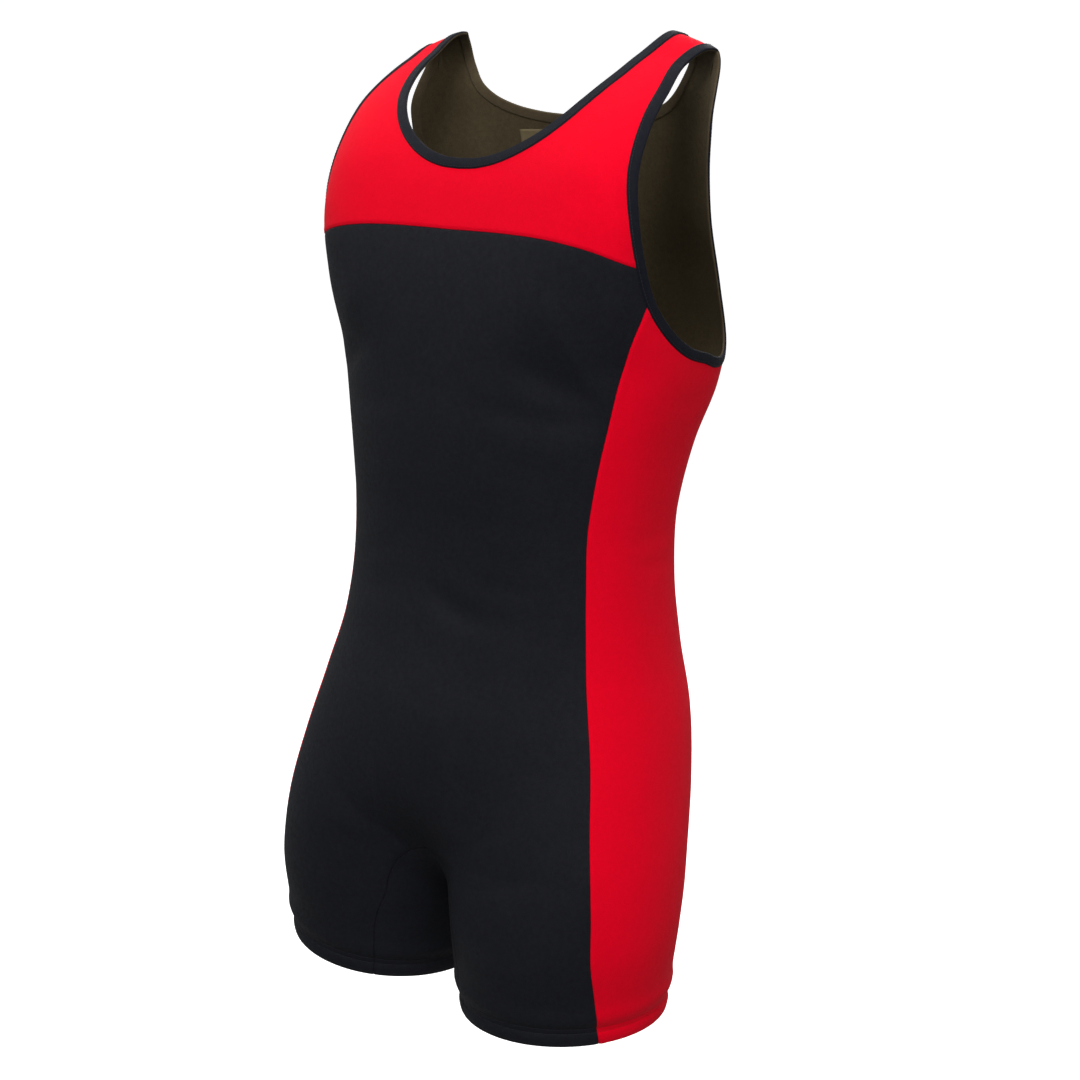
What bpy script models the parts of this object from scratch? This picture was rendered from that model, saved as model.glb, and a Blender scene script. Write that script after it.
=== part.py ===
"""Close-fitting one-piece sleeveless suit with short legs, open as it is worn. Metres, front to -Y."""

import bpy
import numpy as np
from mathutils.bvhtree import BVHTree

CLOTH = 0.0016
SEAM_GAP = 0.0003
BINDING_WIDTH = 0.0095
BINDING_PROUD = 0.0007
BINDING_UNDER = 0.0007
BINDING_ROUND = 0.0012
HEM_STATION = 0.840
HELD_Y = 0.004
HELD_Z = -0.0012
LEG_TILT_X = 0.08
LEG_TILT_Y = -0.08
LEG_TILT_FROM = 0.72
LEG_TILT_TO = 0.80
FIELD_FROM = 0.42
LABEL_CENTRE_X = -0.040
LABEL_WIDTH = 0.066
LABEL_DROP = 0.036
LABEL_THICK = 0.0010
LABEL_GAP = 0.0007
LABEL_BELOW_BINDING = 0.0035

# A row for each section, from the shoulder line down to below the hem. station: distance down the body.
# side: the widest point, front and back: the points on the middle plane. full: squareness of the quarter.
# leg_x: distance of a leg's axis from the middle plane. melt: how softly the two legs run together.
SECTION_COLUMNS = (
    "station", "side_x", "side_y", "side_z", "front_y", "front_z", "back_y", "back_z",
    "front_full", "back_full", "leg_x", "melt",
)
SECTIONS = (
    (0.000, 0.1700, 0.0040, -0.0296, 0.0040, 0.0170, 0.0040, 0.0170, 2.0, 2.0, 0.000, 0.000),
    (0.030, 0.1660, -0.0180, -0.0350, -0.0480, -0.0120, 0.0340, -0.0060, 2.8, 2.1, 0.000, 0.000),
    (0.060, 0.1660, -0.0340, -0.0620, -0.0880, -0.0400, 0.0340, -0.0350, 4.2, 2.25, 0.000, 0.000),
    (0.090, 0.1650, -0.0400, -0.0830, -0.1120, -0.0640, 0.0415, -0.0630, 5.4, 2.3, 0.000, 0.000),
    (0.120, 0.1650, -0.0440, -0.1070, -0.1340, -0.0960, 0.0505, -0.0935, 6.0, 2.25, 0.000, 0.000),
    (0.160, 0.1680, -0.0470, -0.1470, -0.1490, -0.1380, 0.0630, -0.1380, 6.0, 2.2, 0.000, 0.000),
    (0.210, 0.1710, -0.0450, -0.2020, -0.1590, -0.1980, 0.0770, -0.1980, 4.0, 2.5, 0.000, 0.000),
    (0.250, 0.1735, -0.0400, -0.2500, -0.1630, -0.2500, 0.0800, -0.2500, 2.7, 2.8, 0.000, 0.000),
    (0.280, 0.1700, -0.0420, -0.2800, -0.1640, -0.2800, 0.0770, -0.2800, 2.5, 2.8, 0.000, 0.000),
    (0.330, 0.1590, -0.0490, -0.3300, -0.1655, -0.3300, 0.0635, -0.3300, 2.5, 2.55, 0.000, 0.000),
    (0.390, 0.1510, -0.0550, -0.3900, -0.1640, -0.3900, 0.0480, -0.3900, 2.5, 2.5, 0.000, 0.000),
    (0.450, 0.1494, -0.0557, -0.4500, -0.1574, -0.4500, 0.0400, -0.4500, 2.5, 2.5, 0.010, 0.040),
    (0.510, 0.1593, -0.0575, -0.5100, -0.1614, -0.5100, 0.0444, -0.5100, 2.4, 2.4, 0.030, 0.080),
    (0.570, 0.1764, -0.0664, -0.5700, -0.1777, -0.5700, 0.0519, -0.5700, 2.3, 2.3, 0.0507, 0.100),
    (0.630, 0.1898, -0.0821, -0.6300, -0.1931, -0.6300, 0.0419, -0.6300, 2.2, 2.2, 0.0717, 0.090),
    (0.690, 0.2008, -0.0956, -0.6900, -0.2024, -0.6900, 0.0182, -0.6900, 2.1, 2.1, 0.0955, 0.070),
    (0.720, 0.2036, -0.0998, -0.7200, -0.2047, -0.7200, 0.0095, -0.7200, 2.1, 2.1, 0.1010, 0.048),
    (0.750, 0.2048, -0.1030, -0.7500, -0.2065, -0.7500, 0.0025, -0.7500, 2.05, 2.05, 0.1036, 0.012),
    (0.810, 0.1999, -0.1027, -0.8100, -0.2024, -0.8100, -0.0030, -0.8100, 2.0, 2.0, 0.1042, 0.006),
    (0.870, 0.1918, -0.0985, -0.8700, -0.1947, -0.8700, -0.0043, -0.8700, 2.0, 2.0, 0.1054, 0.004),
)
HEIGHT_COLUMNS = ("side_z", "front_z", "back_z")


def through(at, known, values, flat_start=False):
    """Smooth curve through the values of a table, read at the places given."""
    known = np.asarray(known, float)
    values = np.asarray(values, float)
    at = np.clip(at, known[0], known[-1])
    span = np.diff(known)
    slope = np.diff(values) / span
    lean = np.empty_like(values)
    lean[1:-1] = (slope[:-1] * span[1:] + slope[1:] * span[:-1]) / (span[1:] + span[:-1])
    lean[0] = 0.0 if flat_start else slope[0]
    lean[-1] = slope[-1]
    k = np.clip(np.searchsorted(known, at, side="right") - 1, 0, len(span) - 1)
    t = (at - known[k]) / span[k]
    return (
        (1 + 2 * t) * (1 - t) ** 2 * values[k]
        + t * (1 - t) ** 2 * span[k] * lean[k]
        + t * t * (3 - 2 * t) * values[k + 1]
        + t * t * (t - 1) * span[k] * lean[k + 1]
    )


def section(station):
    """Every column of the table at these stations, by name."""
    table = np.array(SECTIONS)
    found = {
        name: through(station, table[:, 0], table[:, i], name in HEIGHT_COLUMNS)
        for i, name in enumerate(SECTION_COLUMNS)
    }
    found["leg_x"] = np.maximum(found["leg_x"], 0.0)
    return found


def outside_leg(x, y, s, axis_x):
    """How far a point lies outside one rounded leg section, negative inside."""
    dx = x - axis_x
    dy = y - s["side_y"]
    front = dy < 0
    depth = np.where(front, s["side_y"] - s["front_y"], s["back_y"] - s["side_y"])
    full = np.where(front, s["front_full"], s["back_full"])
    half = s["side_x"] - s["leg_x"]
    ratio = (np.abs(dx / half) ** full + np.abs(dy / np.maximum(depth, 1e-6)) ** full) ** (1 / full)
    return np.hypot(dx, dy) * (1 - 1 / np.maximum(ratio, 1e-6))


def outside_body(x, y, s):
    """The same for both legs run softly together."""
    one = outside_leg(x, y, s, s["leg_x"])
    other = outside_leg(x, y, s, -s["leg_x"])
    melt = np.maximum(s["melt"], 1e-6)
    near = np.maximum(melt - np.abs(one - other), 0) / melt
    return np.minimum(one, other) - near * near * melt / 4


def root_between(low, high, is_outside, steps=30):
    """The place between low and high where the body's surface is crossed."""
    for _ in range(steps):
        middle = (low + high) / 2
        out = is_outside(middle)
        high = np.where(out, middle, high)
        low = np.where(out, low, middle)
    return (low + high) / 2


def skin(station, turn):
    """Point of the worn form. turn is 0 at the front, a quarter at the side, a half at the back.

    A station above the shoulder line is on the other face, so that a line can run over the shoulder.
    """
    station, turn = np.broadcast_arrays(np.atleast_1d(station).astype(float), turn)
    over = station < 0
    turn = np.where(over, np.pi - turn, turn)
    station = np.abs(station)
    s = section(station)
    front = np.cos(turn) > 0
    full = np.where(front, s["front_full"], s["back_full"])
    reach_x = (s["side_x"] - s["leg_x"]) * np.sin(turn)
    depth = np.where(front, s["side_y"] - s["front_y"], s["back_y"] - s["side_y"])
    reach_y = -depth * np.cos(turn)
    share = (np.abs(np.sin(turn)) ** full + np.abs(np.cos(turn)) ** full) ** (-1 / full)
    legs = np.nonzero(s["leg_x"] > 1e-6)
    if len(legs[0]):
        part = {name: values[legs] for name, values in s.items()}
        ax = reach_x[legs]
        ay = reach_y[legs]
        most = np.full(ax.shape, 1.6)
        inward = ax < -1e-9
        most[inward] = np.minimum(1.6, part["leg_x"][inward] / -ax[inward])
        share[legs] = root_between(
            np.zeros(ax.shape),
            most,
            lambda m: outside_body(part["leg_x"] + m * ax, part["side_y"] + m * ay, part) > 0,
        )
    x = s["leg_x"] + share * reach_x
    y = s["side_y"] + share * reach_y
    weight = share * np.abs(np.cos(turn))
    far_z = np.where(front, s["front_z"], s["back_z"])
    z = s["side_z"] + (far_z - s["side_z"]) * weight
    t = np.clip((station - LEG_TILT_FROM) / (LEG_TILT_TO - LEG_TILT_FROM), 0, 1)
    tilt = t * t * (3 - 2 * t)
    z = z + tilt * (LEG_TILT_X * (x - s["leg_x"]) + LEG_TILT_Y * (y - s["side_y"]))
    return np.stack([x, y - HELD_Y, z - HELD_Z], -1)


def middle_turns(station):
    """Turns where the half section starts and ends: on the middle plane, or at the inner leg below it."""
    s = section(np.atleast_1d(station).astype(float))
    zero = np.zeros(s["side_x"].shape)
    joined = outside_body(zero, s["side_y"], s) < 0
    turns = []
    for way, depth in ((-1, s["side_y"] - s["front_y"]), (1, s["back_y"] - s["side_y"])):
        reach = root_between(
            zero, zero + 0.3, lambda m: outside_body(zero, s["side_y"] + way * m, s) > 0
        )
        angle = np.arctan2(s["leg_x"] / (s["side_x"] - s["leg_x"]), reach / np.maximum(depth, 1e-6))
        turns.append(np.where(joined, angle, np.pi / 2))
    return -turns[0], np.pi + turns[1]


def slopes(station, turn, step=2e-4):
    """How the point of the form moves with the station and with the turn."""
    along = (skin(station + step, turn) - skin(station - step, turn)) / (2 * step)
    wide = 10 * step
    around = (skin(station, turn + wide) - skin(station, turn - wide)) / (2 * wide)
    return along, around


def outward(station, turn):
    """Unit normals of the form, out of the body."""
    station, turn = np.broadcast_arrays(np.atleast_1d(station).astype(float), turn)
    along, around = slopes(station, turn)
    normal = np.cross(along, around)
    low = np.nonzero(station > FIELD_FROM)
    if len(low[0]):
        point = skin(station[low], turn[low]) + np.array([0.0, HELD_Y, HELD_Z])
        step = 2e-4

        def out_at(dx, dy, dz):
            s = section(station[low] - dz)
            return outside_body(point[..., 0] + dx, point[..., 1] + dy, s)

        normal[low] = np.stack(
            [
                out_at(step, 0, 0) - out_at(-step, 0, 0),
                out_at(0, step, 0) - out_at(0, -step, 0),
                out_at(0, 0, step) - out_at(0, 0, -step),
            ],
            -1,
        )
    return normal / np.linalg.norm(normal, axis=-1, keepdims=True)


# The pieces' edges. A row for each place on the line: station, turn in degrees.
# A negative station has passed over the shoulder, onto the front.
NECK_EDGE = (
    (0.0900, 180.0),
    (0.0893, 171.0),
    (0.0865, 162.0),
    (0.0805, 154.0),
    (0.0710, 147.5),
    (0.0590, 142.8),
    (0.0460, 139.2),
    (0.0324, 136.5),
    (0.0120, 137.5),
    (0.0000, 139.6),
    (-0.0150, 141.6),
    (-0.0300, 144.2),
    (-0.0440, 146.4),
    (-0.0575, 148.7),
    (-0.0735, 151.0),
    (-0.0865, 153.2),
    (-0.0990, 156.8),
    (-0.1095, 162.0),
    (-0.1175, 168.5),
    (-0.1210, 174.0),
    (-0.1220, 180.0),
)
ARMHOLE_EDGE = (
    (0.2500, 99.0),
    (0.2550, 108.0),
    (0.2545, 115.5),
    (0.2480, 120.5),
    (0.2355, 122.0),
    (0.2180, 120.2),
    (0.1950, 118.0),
    (0.1600, 115.5),
    (0.1300, 112.5),
    (0.0954, 108.2),
    (0.0554, 107.0),
    (0.0300, 110.0),
    (0.0120, 113.5),
    (0.0000, 116.2),
    (-0.0130, 120.5),
    (-0.0325, 125.3),
    (-0.0580, 127.5),
    (-0.0900, 128.8),
    (-0.1145, 128.5),
    (-0.1300, 128.0),
    (-0.1565, 126.0),
    (-0.1835, 122.0),
    (-0.2110, 115.5),
    (-0.2310, 105.5),
    (-0.2430, 94.5),
    (-0.2500, 81.0),
)
# Station of the yoke seam at each turn.
YOKE_SEAM = (
    (0.0, 0.1742),
    (10.0, 0.1740),
    (20.0, 0.1742),
    (30.0, 0.1757),
    (36.0, 0.1780),
    (42.0, 0.1815),
    (48.0, 0.1860),
    (54.0, 0.1895),
    (64.0, 0.1930),
)
# Turn of each seam at each station.
SIDE_SEAM_FRONT = (
    (0.190, 67.0),
    (0.216, 61.0),
    (0.235, 57.0),
    (0.260, 55.1),
    (0.320, 54.7),
    (0.380, 54.0),
    (0.450, 52.0),
    (0.520, 49.7),
    (0.600, 50.0),
    (0.700, 48.5),
    (0.760, 49.5),
    (0.800, 53.0),
    (0.840, 56.6),
)
SIDE_SEAM_BACK = (
    (0.190, 116.0),
    (0.235, 124.0),
    (0.270, 128.0),
    (0.380, 130.0),
    (0.500, 131.5),
    (0.620, 132.0),
    (0.720, 131.0),
    (0.840, 126.0),
)
# Turn of the inner leg seams below the middle plane, where they start.
INNER_FRONT_TOP = 0.695
INNER_BACK_TOP = 0.735
INNER_SEAM_FRONT = (
    (0.7136, -43.2),
    (0.7239, -40.9),
    (0.7507, -39.3),
    (0.7683, -36.2),
    (0.7819, -34.6),
    (0.8228, -33.7),
    (0.8400, -33.5),
)
INNER_SEAM_BACK = (
    (0.7500, 240.0),
    (0.7700, 231.0),
    (0.8000, 226.0),
    (0.8400, 224.0),
)
# Divisions along each stretch of a panel's outline.
ROWS = {"side": 28, "inner": 8, "front_armhole": 4, "yoke_armhole": 16, "back_armhole": 18, "back_neck": 10}
COLUMNS = {"body": 8, "side": 9, "inner": 8}
DENSE = 400
# A usual distance from the body's axis, which weighs turns against stations along a line.
USUAL_RADIUS = 0.16
# Colour as red, green and blue in linear light.
BLACK = (0.011, 0.012, 0.016)
RED = (0.62, 0.004, 0.012)
BINDING_BLACK = (0.012, 0.013, 0.018)
LABEL_COLOUR = (0.040, 0.030, 0.014)
CLOTH_ROUGHNESS = 0.62
BINDING_ROUGHNESS = 0.7
LABEL_ROUGHNESS = 0.8


def spline(rows, count):
    """Dense smooth line through rows of (station, turn in radians)."""
    rows = np.array(rows, float)
    rows[:, 1] = np.radians(rows[:, 1])
    steps = np.hypot(np.diff(rows[:, 0]), USUAL_RADIUS * np.diff(rows[:, 1]))
    known = np.concatenate([[0], np.cumsum(steps)])
    at = np.linspace(0, known[-1], count)
    return np.stack([through(at, known, rows[:, 0]), through(at, known, rows[:, 1])], -1)


def lengths(path):
    """Distance run along a line of (station, turn), measured on the body."""
    points = skin(path[:, 0], path[:, 1])
    return np.concatenate([[0], np.cumsum(np.linalg.norm(np.diff(points, axis=0), axis=1))])


def divided(path, count):
    """The line cut into equal lengths."""
    run = lengths(path)
    at = np.linspace(0, run[-1], count + 1)
    return np.stack([np.interp(at, run, path[:, 0]), np.interp(at, run, path[:, 1])], -1)


def inset(path, width, closed):
    """The line moved over the body by the width, to the left of its run."""
    moved = path.copy()
    points = skin(path[:, 0], path[:, 1])
    if closed:
        run = np.roll(points[:-1], -1, 0) - np.roll(points[:-1], 1, 0)
        run = np.concatenate([run, run[:1]])
    else:
        run = np.gradient(points, axis=0)
        run[0, 1:] = 0
        run[-1, 1:] = 0
    along, around = slopes(path[:, 0], path[:, 1])
    normal = np.cross(around, along)
    aim = np.cross(normal, run)
    aim /= np.linalg.norm(aim, axis=1, keepdims=True)
    for _ in range(5):
        along, around = slopes(moved[:, 0], moved[:, 1])
        a = np.sum(along * along, 1)
        b = np.sum(along * around, 1)
        c = np.sum(around * around, 1)
        p = np.sum(along * aim, 1) * width / 5
        q = np.sum(around * aim, 1) * width / 5
        det = a * c - b * b
        moved[:, 0] += (c * p - b * q) / det
        moved[:, 1] += (a * q - b * p) / det
    return moved


def faced(path):
    """Lines with stations past the shoulder put back on the face that they lie on."""
    over = path[:, :1] < 0
    return np.where(over, np.stack([-path[:, 0], np.pi - path[:, 1]], -1), path)


def crossing(gap):
    """Index, with its fraction, where the values first change sign."""
    k = np.nonzero(gap[:-1] * gap[1:] <= 0)[0][0]
    return k + gap[k] / (gap[k] - gap[k + 1])


def at_index(path, index):
    """Points of a line at fractional indices."""
    whole = np.arange(len(path))
    return np.stack([np.interp(index, whole, path[:, i]) for i in (0, 1)], -1)


def even_marks(path, start, end, count):
    """Fractional indices that cut the line from start to end into equal lengths."""
    run = np.interp([start, end], np.arange(len(path)), lengths(path))
    return np.interp(np.linspace(*run, count + 1), lengths(path), np.arange(len(path)))


def seam_turn(rows, station):
    rows = np.array(rows)
    return np.radians(through(station, rows[:, 0], rows[:, 1]))


def yoke_station(turn):
    rows = np.array(YOKE_SEAM)
    return through(np.degrees(turn), rows[:, 0], rows[:, 1])


def down(start, end, turn_at):
    """A line from one station to another, with the turn that a function gives."""
    station = np.linspace(start, end, DENSE)
    return np.stack([station, turn_at(station)], -1)


def patch(left, right, top, bottom):
    """Grid of (station, turn) spanned between four lines of matching counts."""
    r = np.linspace(0, 1, len(left))[:, None, None]
    c = np.linspace(0, 1, len(top))[None, :, None]
    sides = (1 - c) * left[:, None] + c * right[:, None]
    ends = (1 - r) * top[None] + r * bottom[None]
    corners = (1 - r) * ((1 - c) * top[0] + c * top[-1]) + r * ((1 - c) * bottom[0] + c * bottom[-1])
    return sides + ends - corners


def outlines():
    """The bound edges and where the panels meet them.

    Each edge has a free line, the same line moved in by the binding's width, and marks along both: the
    fractional indices where the samples lie, so that a panel and its binding have the same ones.
    """
    neck = spline(NECK_EDGE, DENSE)
    neck_in = inset(neck, -BINDING_WIDTH, False)
    neck_in[0, 1] = np.pi
    neck_in[-1, 1] = np.pi
    armhole = spline(ARMHOLE_EDGE, 2 * DENSE)
    armhole_in = inset(armhole, BINDING_WIDTH, True)
    canonical = faced(armhole_in)
    station = canonical[:, 0]
    turn = canonical[:, 1]
    last = len(station) - 1
    ridge = crossing(armhole_in[:, 0])
    past = np.arange(last + 1) > ridge
    front_gap = np.where(past, turn - seam_turn(SIDE_SEAM_FRONT, station), 1.0)
    yoke_gap = np.where(past, station - yoke_station(turn), 1.0)
    back_gap = np.where(past, 1.0, turn - seam_turn(SIDE_SEAM_BACK, station))
    front_end = last - crossing(front_gap[::-1])
    yoke_end = last - crossing(yoke_gap[::-1])
    back_end = crossing(back_gap)
    over = crossing(neck_in[:, 0])
    end = len(neck_in) - 1
    marks = {
        "neck_back": even_marks(neck_in, over - 1e-6, 0, ROWS["back_neck"]),
        "neck_front": even_marks(neck_in, over + 1e-6, end, ROWS["yoke_armhole"] - 1),
        "arm_back": even_marks(armhole_in, ridge - 1e-6, back_end, ROWS["back_armhole"]),
        "arm_yoke": even_marks(armhole_in, ridge + 1e-6, yoke_end, ROWS["yoke_armhole"]),
        "arm_front": even_marks(armhole_in, yoke_end, front_end, ROWS["front_armhole"]),
    }
    run = lengths(armhole_in)
    at_front, at_back = np.interp([front_end, back_end], np.arange(last + 1), run)
    under = np.linspace(at_front, run[-1] + at_back, COLUMNS["side"] + 1) % run[-1]
    marks["arm_side"] = np.interp(under, run, np.arange(last + 1))
    return {"neck": (neck, neck_in), "armhole": (armhole, armhole_in)}, marks


def chained(*paths):
    """Lines joined end to end, each already divided."""
    return np.concatenate([paths[0]] + [path[1:] for path in paths[1:]])


def middle_line(start, end, back):
    """The line on the middle plane between two stations, on the front or the back."""
    return down(start, end, lambda station: middle_turns(station)[1 if back else 0])


def inner_line(top, rows, back):
    """The inner leg seam, from its start on the middle plane to the hem."""
    start = middle_turns(top)[1 if back else 0]
    known = [(top, float(np.degrees(start[0])))] + list(rows)
    return down(top, HEM_STATION, lambda station: seam_turn(known, station))


def hem_line(start, end):
    turn = np.linspace(start, end, DENSE)
    return np.stack([np.full(DENSE, HEM_STATION), turn], -1)


def panel_grids(edges, marks):
    """Grid of (station, turn) for the half of each panel with x above zero."""
    line = {
        name: faced(at_index(edges["neck" if name.startswith("neck") else "armhole"][1], at))
        for name, at in marks.items()
    }
    side = ROWS["side"]
    inner = ROWS["inner"]
    body = COLUMNS["body"]
    seam_a = down(line["arm_front"][-1, 0], HEM_STATION, lambda h: seam_turn(SIDE_SEAM_FRONT, h))
    seam_b = down(line["arm_back"][-1, 0], HEM_STATION, lambda h: seam_turn(SIDE_SEAM_BACK, h))
    seam_a = divided(seam_a, side)
    seam_b = divided(seam_b, side)
    seam_a[0] = line["arm_front"][-1]
    seam_b[0] = line["arm_back"][-1]
    inner_a = divided(inner_line(INNER_FRONT_TOP, INNER_SEAM_FRONT, False), inner)
    inner_b = divided(inner_line(INNER_BACK_TOP, INNER_SEAM_BACK, True), inner)
    yoke_turn = np.linspace(0, line["arm_yoke"][-1, 1], DENSE)
    yoke = divided(np.stack([yoke_station(yoke_turn), yoke_turn], -1), body)
    yoke[-1] = line["arm_yoke"][-1]
    grids = {}

    shoulder = np.linspace(line["neck_front"][0], line["arm_yoke"][0], DENSE)
    centre = middle_line(line["neck_front"][-1, 0], yoke[0, 0], False)
    grids["front_yoke"] = patch(
        chained(line["neck_front"], divided(centre, 1)),
        line["arm_yoke"],
        divided(shoulder, body),
        yoke,
    )

    total = ROWS["front_armhole"] + side
    centre = middle_line(yoke[0, 0], INNER_FRONT_TOP, False)
    grids["front_body"] = patch(
        chained(divided(centre, total - inner), inner_a),
        chained(line["arm_front"], seam_a),
        yoke,
        divided(hem_line(inner_a[-1, 1], seam_a[-1, 1]), body),
    )

    total = ROWS["back_armhole"] + side
    shoulder = np.linspace(line["arm_back"][0], line["neck_back"][0], DENSE)
    centre = middle_line(line["neck_back"][-1, 0], INNER_BACK_TOP, True)
    grids["back"] = patch(
        chained(line["arm_back"], seam_b),
        chained(line["neck_back"], divided(centre, total - ROWS["back_neck"] - inner), inner_b),
        divided(shoulder, body),
        divided(hem_line(seam_b[-1, 1], inner_b[-1, 1]), body),
    )

    grids["side"] = patch(
        seam_a,
        seam_b,
        line["arm_side"],
        divided(hem_line(seam_a[-1, 1], seam_b[-1, 1]), COLUMNS["side"]),
    )

    under = root_between(
        np.array([INNER_BACK_TOP]),
        np.array([HEM_STATION]),
        lambda h: middle_turns(h)[0] < -np.pi / 2 + 1e-9,
    )[0]
    fore = middle_line(INNER_FRONT_TOP, under, False)
    rear = middle_line(INNER_BACK_TOP, under, True)[::-1]
    turned = np.array([0.0, 2 * np.pi])
    grids["gusset"] = patch(
        inner_b - turned,
        inner_a,
        divided(np.concatenate([fore, rear[1:] - turned])[::-1], COLUMNS["inner"]),
        divided(hem_line(inner_b[-1, 1] - 2 * np.pi, inner_a[-1, 1]), COLUMNS["inner"]),
    )
    return grids


def surface_of(grid):
    """Points, normals and faces of a grid, with the faces wound to look out of the body."""
    rows, columns = grid.shape[:2]
    points = skin(grid[..., 0], grid[..., 1]).reshape(-1, 3)
    normals = outward(grid[..., 0], grid[..., 1]).reshape(-1, 3)
    index = np.arange(rows * columns).reshape(rows, columns)
    faces = np.stack([index[:-1, :-1], index[1:, :-1], index[1:, 1:], index[:-1, 1:]], -1)
    return points, normals, faces.reshape(-1, 4)


def mirrored(points, normals, faces):
    flip = np.array([-1.0, 1.0, 1.0])
    return points * flip, normals * flip, faces[:, ::-1]


def both_halves(points, normals, faces):
    """A half surface and its mirror image, with the points on the middle plane shared."""
    on_plane = np.abs(points[:, 0]) < 1e-5
    points = points.copy()
    normals = normals.copy()
    points[on_plane, 0] = 0.0
    normals[on_plane, 0] = 0.0
    normals /= np.linalg.norm(normals, axis=1, keepdims=True)
    other_points, other_normals, other_faces = mirrored(points, normals, faces)
    count = len(points)
    keep = np.nonzero(~on_plane)[0]
    renamed = np.arange(count)
    renamed[keep] = count + np.arange(len(keep))
    return (
        np.concatenate([points, other_points[keep]]),
        np.concatenate([normals, other_normals[keep]]),
        np.concatenate([faces, renamed[other_faces]]),
    )


def border(faces):
    """Edges that only one face has, each in that face's direction."""
    edges = {tuple(map(int, (face[i], face[(i + 1) % 4]))) for face in faces for i in range(4)}
    return np.array(sorted(edge for edge in edges if edge[::-1] not in edges))


def drawn_in(points, normals, faces, distance):
    """The points with those on the border moved inward over the surface."""
    rim = border(faces)
    run = points[rim[:, 1]] - points[rim[:, 0]]
    aim = np.cross(normals[rim[:, 0]] + normals[rim[:, 1]], run)
    aim /= np.linalg.norm(aim, axis=1, keepdims=True)
    leaving = dict(zip(rim[:, 0].tolist(), aim))
    arriving = dict(zip(rim[:, 1].tolist(), aim))
    moved = points.copy()
    for k, first in leaving.items():
        second = arriving[k]
        moved[k] += distance * (first + second) / max(1 + float(first @ second), 0.2)
    return moved


def wall(points, normals, faces):
    """Closed sheet of cloth under a surface."""
    outer = drawn_in(points, normals, faces, SEAM_GAP / 2)
    inner = outer - CLOTH * normals
    count = len(points)
    rim = border(faces)
    rim_faces = np.stack([rim[:, 1], rim[:, 0], rim[:, 0] + count, rim[:, 1] + count], -1)
    return np.concatenate([outer, inner]), np.concatenate([faces, faces[:, ::-1] + count, rim_faces])


def binding_rings(edge, marks):
    """Rings of the folded band's section, one at each mark: out, round the free edge and back under."""
    free = at_index(edge[0], marks)
    sewn = at_index(edge[1], marks)
    middle = (free + sewn) / 2
    places = [skin(line[:, 0], line[:, 1]) for line in (sewn, middle, free)]
    normals = [outward(line[:, 0], line[:, 1]) for line in (sewn, middle, free)]
    across = places[2] - places[0]
    across /= np.linalg.norm(across, axis=1, keepdims=True)
    places[0] = places[0] + across * SEAM_GAP / 2
    fold = places[2] - across * BINDING_ROUND
    above = [places[0], places[1], fold]
    leans = [normals[0], normals[1], normals[2]]
    ring = [p + n * BINDING_PROUD for p, n in zip(above, leans)]
    ring.append(places[2] - normals[2] * CLOTH / 2)
    under = CLOTH + BINDING_UNDER
    ring += [p - n * under for p, n in zip(above[::-1], leans[::-1])]
    return np.stack(ring, 1)


def tube(rings):
    """Closed band through rings that come back to the first one, facing outward."""
    count, around = rings.shape[:2]
    index = np.arange(count * around).reshape(count, around)
    ahead = np.roll(index, -1, 0)
    faces = np.stack([index, ahead, np.roll(ahead, -1, 1), np.roll(index, -1, 1)], -1).reshape(-1, 4)
    points = rings.reshape(-1, 3)
    corner = points[faces]
    first = np.cross(corner[:, 1], corner[:, 2])
    second = np.cross(corner[:, 2], corner[:, 3])
    volume = np.sum(corner[:, 0] * (first + second))
    return points, faces if volume > 0 else faces[:, ::-1]


def neck_band(edges, marks):
    half = np.concatenate([marks["neck_back"][::-1], marks["neck_front"][1:]])
    rings = binding_rings(edges["neck"], half)
    rings[0, :, 0] = 0.0
    rings[-1, :, 0] = 0.0
    other = rings[1:-1][::-1] * np.array([-1.0, 1.0, 1.0])
    return tube(np.concatenate([rings, other]))


def armhole_band(edges, marks):
    around = np.concatenate(
        [
            marks["arm_yoke"],
            marks["arm_front"][1:],
            marks["arm_side"][1:],
            marks["arm_back"][::-1][1:-1],
        ]
    )
    return tube(binding_rings(edges["armhole"], around))


def label_plate(top, panel):
    """Small flat patch lying on the inner face of a panel, its top at the station given."""
    across = -LABEL_CENTRE_X + np.linspace(LABEL_WIDTH / 2, -LABEL_WIDTH / 2, 9)
    station = np.linspace(top, top + LABEL_DROP, 5)[:, None] + 0 * across
    side_x = section(station)["side_x"]
    turn = np.pi - np.arcsin(across / side_x)
    points, normals, faces = mirrored(*surface_of(np.stack([station, turn], -1)))
    panel.calc_loop_triangles()
    triangles = [tuple(triangle.vertices) for triangle in panel.loop_triangles]
    tree = BVHTree.FromPolygons([vertex.co for vertex in panel.vertices], triangles)
    inside = points - 10 * CLOTH * normals
    met = np.array([tree.ray_cast(p.tolist(), n.tolist())[0] for p, n in zip(inside, normals)])
    outer = met - LABEL_GAP * normals
    inner = outer - LABEL_THICK * normals
    count = len(points)
    rim = border(faces)
    rim_faces = np.stack([rim[:, 1], rim[:, 0], rim[:, 0] + count, rim[:, 1] + count], -1)
    return np.concatenate([outer, inner]), np.concatenate([faces, faces[:, ::-1] + count, rim_faces])


def add(name, points, faces, colour, roughness):
    mesh = bpy.data.meshes.new(name)
    mesh.from_pydata(points.tolist(), [], faces.tolist())
    mesh.update()
    mesh.shade_smooth()
    material = bpy.data.materials.new(name)
    material.use_nodes = True
    shader = material.node_tree.nodes["Principled BSDF"]
    shader.inputs["Base Color"].default_value = (*colour, 1.0)
    shader.inputs["Roughness"].default_value = roughness
    mesh.materials.append(material)
    bpy.context.scene.collection.objects.link(bpy.data.objects.new(name, mesh))


for old in list(bpy.data.objects):
    bpy.data.objects.remove(old)

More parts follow.
